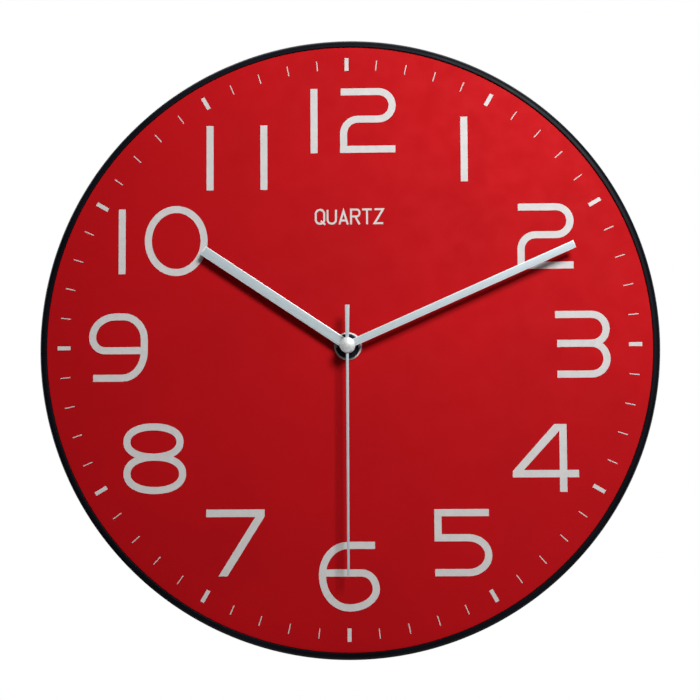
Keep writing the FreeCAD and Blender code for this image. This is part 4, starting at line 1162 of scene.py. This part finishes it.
def knob():
    """Setting knob with rounded grips, a dished back and a sleeve."""
    back, sleeve_front = depths("setting_knob")
    radius = half_width("setting_knob")
    place = centre_of("setting_knob")
    loop = []
    steps = KNOB_GRIPS * KNOB_GRIP_STEPS
    for step in range(steps):
        angle = TURN * step / steps
        wave = 0.5 + 0.5 * math.cos(KNOB_GRIPS * angle)
        reach = radius - KNOB_GRIP_DEPTH * (1.0 - math.sqrt(wave))
        loop.append(Vector((reach * math.cos(angle), reach * math.sin(angle))))
    edges = (round_edge(KNOB_FRONT_ROUND), round_edge(KNOB_BACK_ROUND))
    body = prism([loop], back, back + KNOB_THICKNESS, *edges)
    mouth, floor = DISH_MOUTH, DISH_FLOOR
    dish = [(0.0, mouth[1]), mouth, floor, (0.0, floor[1])]
    dish = turned([(reach, back + drop) for reach, drop in dish], steps=HOLE_STEPS)
    body = combined(body, dish, "DIFFERENCE")
    half, reach = POINTER_HALF
    start, end = (back + drop for drop in POINTER_DEPTHS)
    pointer = [rectangle(-half, half, -reach, reach, POINTER_CORNER)]
    body = combined(body, prism(pointer, start, end, back_edge=round_edge(POINTER_ROUND)))
    start, end = back + SLEEVE_START, sleeve_front
    sleeve = [
        (SLEEVE_BORE, start), (SLEEVE_RADIUS, start), (SLEEVE_RADIUS, end - SLEEVE_CHAMFER),
        (SLEEVE_RADIUS - SLEEVE_CHAMFER, end), (SLEEVE_BORE, end),
    ]
    body = combined(body, turned(sleeve, steps=SLEEVE_STEPS))
    bmesh.ops.translate(body, vec=at(place[0], 0.0, place[1]), verts=body.verts)
    piece("setting_knob_grip", body, MOTION_BODY, "knob_plastic", "setting_knob")


def back_marks():
    """Raised marks on the back of the movement: two curved arrows round the knob, a plus and a minus."""
    back = depths("rear_cover")[0]
    left, right = sides("battery_cell")[:2]
    row = sides("rear_cover")[2] + POLE_MARK_RISE
    inner, outer = ARROW_RADIUS - ARROW_WIDTH / 2.0, ARROW_RADIUS + ARROW_WIDTH / 2.0
    shapes = []
    for degrees in ARROW_STARTS:
        start, end = math.radians(degrees), math.radians(degrees - ARROW_SWEEP)
        curve = arc(outer, start, end, ARROW_STEPS) + arc(inner, end, start, ARROW_STEPS)
        head = [
            point_at(ARROW_RADIUS - ARROW_WIDTH, end),
            point_at(ARROW_RADIUS + ARROW_WIDTH, end),
            point_at(ARROW_RADIUS, end - math.radians(ARROW_HEAD)),
        ]
        shapes += [moved([loop], centre_of("setting_knob")) for loop in (curve, head)]
    half, bar = POLE_MARK / 2.0, POLE_MARK_BAR / 2.0
    plus = [
        (-half, -bar), (-bar, -bar), (-bar, -half), (bar, -half), (bar, -bar), (half, -bar),
        (half, bar), (bar, bar), (bar, half), (-bar, half), (-bar, bar), (-half, bar),
    ]
    minus = rectangle(-half, half, -bar, bar)
    shapes.append(moved([plus], (left + POLE_MARK_INSET, row)))
    shapes.append(moved([minus], (right - POLE_MARK_INSET, row)))
    solids = [prism(shape, back - MARK_HEIGHT, back + MARK_SUNK) for shape in shapes]
    stamped = moulded("stamped_marks", (0.24, 0.24, 0.235), 0.5)
    piece("setting_arrows", stacked(solids), CASE, "movement_plastic", material=stamped)


# Finish of the CAD nodes that stay as they are: material and width of the softened edges

KEPT_NODES = {
    "movement_gasket": ("gasket_rubber", 0.15),
    "threaded_bush": ("collet_metal", 0.0),
    "front_housing": ("movement_plastic", 0.3),
    "train_bridge": ("bridge_plastic", 0.12),
    "rear_cover": ("movement_plastic", 0.2),
    "battery_contact_positive": ("contact_metal", 0.06),
    "battery_contact_negative": ("contact_metal", 0.06),
    "circuit_board": ("board_laminate", 0.05),
    "driver_chip": ("chip_resin", 0.1),
    "quartz_crystal": ("crystal_can", 0.0),
    "coil_bobbin": ("bobbin_plastic", 0.08),
    "coil_winding": ("copper_wire", 0.08),
    "coil_core": ("iron_sheet", 0.05),
    "stator": ("iron_sheet", 0.05),
    "rotor_magnet": ("magnet", 0.1),
    "rotor_pinion": ("gear_plastic", 0.0),
    "intermediate_wheel": ("gear_plastic", 0.0),
    "second_wheel": ("gear_plastic", 0.0),
    "second_arbor": ("arbor_steel", 0.0),
    "third_wheel": ("gear_plastic", 0.0),
    "centre_wheel": ("gear_plastic", 0.0),
    "clutch_spring": ("brass", 0.0),
    "minute_arbor": ("brass", 0.0),
    "motion_wheel": ("gear_plastic", 0.0),
    "hour_wheel": ("gear_plastic", 0.0),
    "second_hand_collet": ("collet_metal", 0.05),
}


def kept_nodes():
    """Give the CAD nodes that stay their materials and, where stated, softened edges."""
    for name, (slot, edge_width) in KEPT_NODES.items():
        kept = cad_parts[name]
        for holder in kept.material_slots:
            holder.link = "OBJECT"
            holder.material = MATERIALS[slot]
        if edge_width:
            merge = kept.modifiers.new("merge", "DECIMATE")
            merge.decimate_type = "DISSOLVE"
            merge.angle_limit = math.radians(FLAT_ANGLE)
            soften = kept.modifiers.new("soften", "BEVEL")
            soften.width = edge_width * MM
            soften.segments = 2
            soften.limit_method = "ANGLE"
            soften.angle_limit = math.radians(SOFTENED_ANGLE)
            soften.harden_normals = True


case_moulding()
dial()
numerals()
marks()
word()
hands()
hanger()
screws()
battery()
knob()
back_marks()
kept_nodes()


# Camera, light and floor

def place_camera():
    """Camera in front of the clock, a little low and to the right, looking slightly up."""
    camera = bpy.data.objects.new("camera", bpy.data.cameras.new("camera"))
    camera.data.lens = CAMERA_LENS
    yaw = Matrix.Rotation(-math.radians(CAMERA_YAW), 4, "Z")
    pitch = Matrix.Rotation(math.radians(90.0 + CAMERA_PITCH), 4, "X")
    roll = Matrix.Rotation(math.radians(CAMERA_ROLL), 4, "Z")
    camera.matrix_world = Matrix.Translation(at(*CAMERA_PLACE)) @ yaw @ pitch @ roll
    bpy.context.scene.collection.objects.link(camera)
    bpy.context.scene.camera = camera


def softbox(name, place, size, power):
    """Square light that faces the middle of the dial."""
    light = bpy.data.lights.new(name, "AREA")
    light.shape = "SQUARE"
    light.size = size
    light.energy = power
    lamp = bpy.data.objects.new(name, light)
    lamp.location = at(*place)
    lamp.rotation_mode = "QUATERNION"
    lamp.rotation_quaternion = (at(0.0, DIAL_FRONT, 0.0) - lamp.location).to_track_quat("-Z", "Y")
    bpy.context.scene.collection.objects.link(lamp)


def studio():
    """White background, a dim even surround, soft lights in front and behind, and a pale floor."""
    world = bpy.data.worlds.new("studio")
    bpy.context.scene.world = world
    world.use_nodes = True
    world.node_tree.nodes.clear()
    seen, lighting = (
        node(world, "ShaderNodeBackground", {"Color": (*colour, 1.0)}).outputs["Background"]
        for colour in (BACKGROUND, SURROUND)
    )
    camera_ray = node(world, "ShaderNodeLightPath").outputs["Is Camera Ray"]
    mix = node(world, "ShaderNodeMixShader", {"Fac": camera_ray, 1: lighting, 2: seen})
    node(world, "ShaderNodeOutputWorld", {"Surface": mix.outputs["Shader"]})
    for name, place, size, power in LIGHTS:
        softbox(name, place, size, power)
    floor = bpy.data.objects.new("floor", bpy.data.meshes.new("floor"))
    corners = [(-1.0, 1.0), (1.0, 1.0), (1.0, -1.0), (-1.0, -1.0)]
    corners = [at(x * FLOOR_HALF, depth * FLOOR_HALF, FLOOR_Z) for x, depth in corners]
    floor.data.from_pydata(corners, [], [(0, 1, 2, 3)])
    paper = new_material("paper", PAPER, 0.9)
    colour_between(paper, noise(paper, 300.0), PAPER, 0.975, 1.025)
    floor.data.materials.append(paper)
    bpy.context.scene.collection.objects.link(floor)
    bpy.context.scene.view_settings.view_transform = "Standard"


place_camera()
studio()
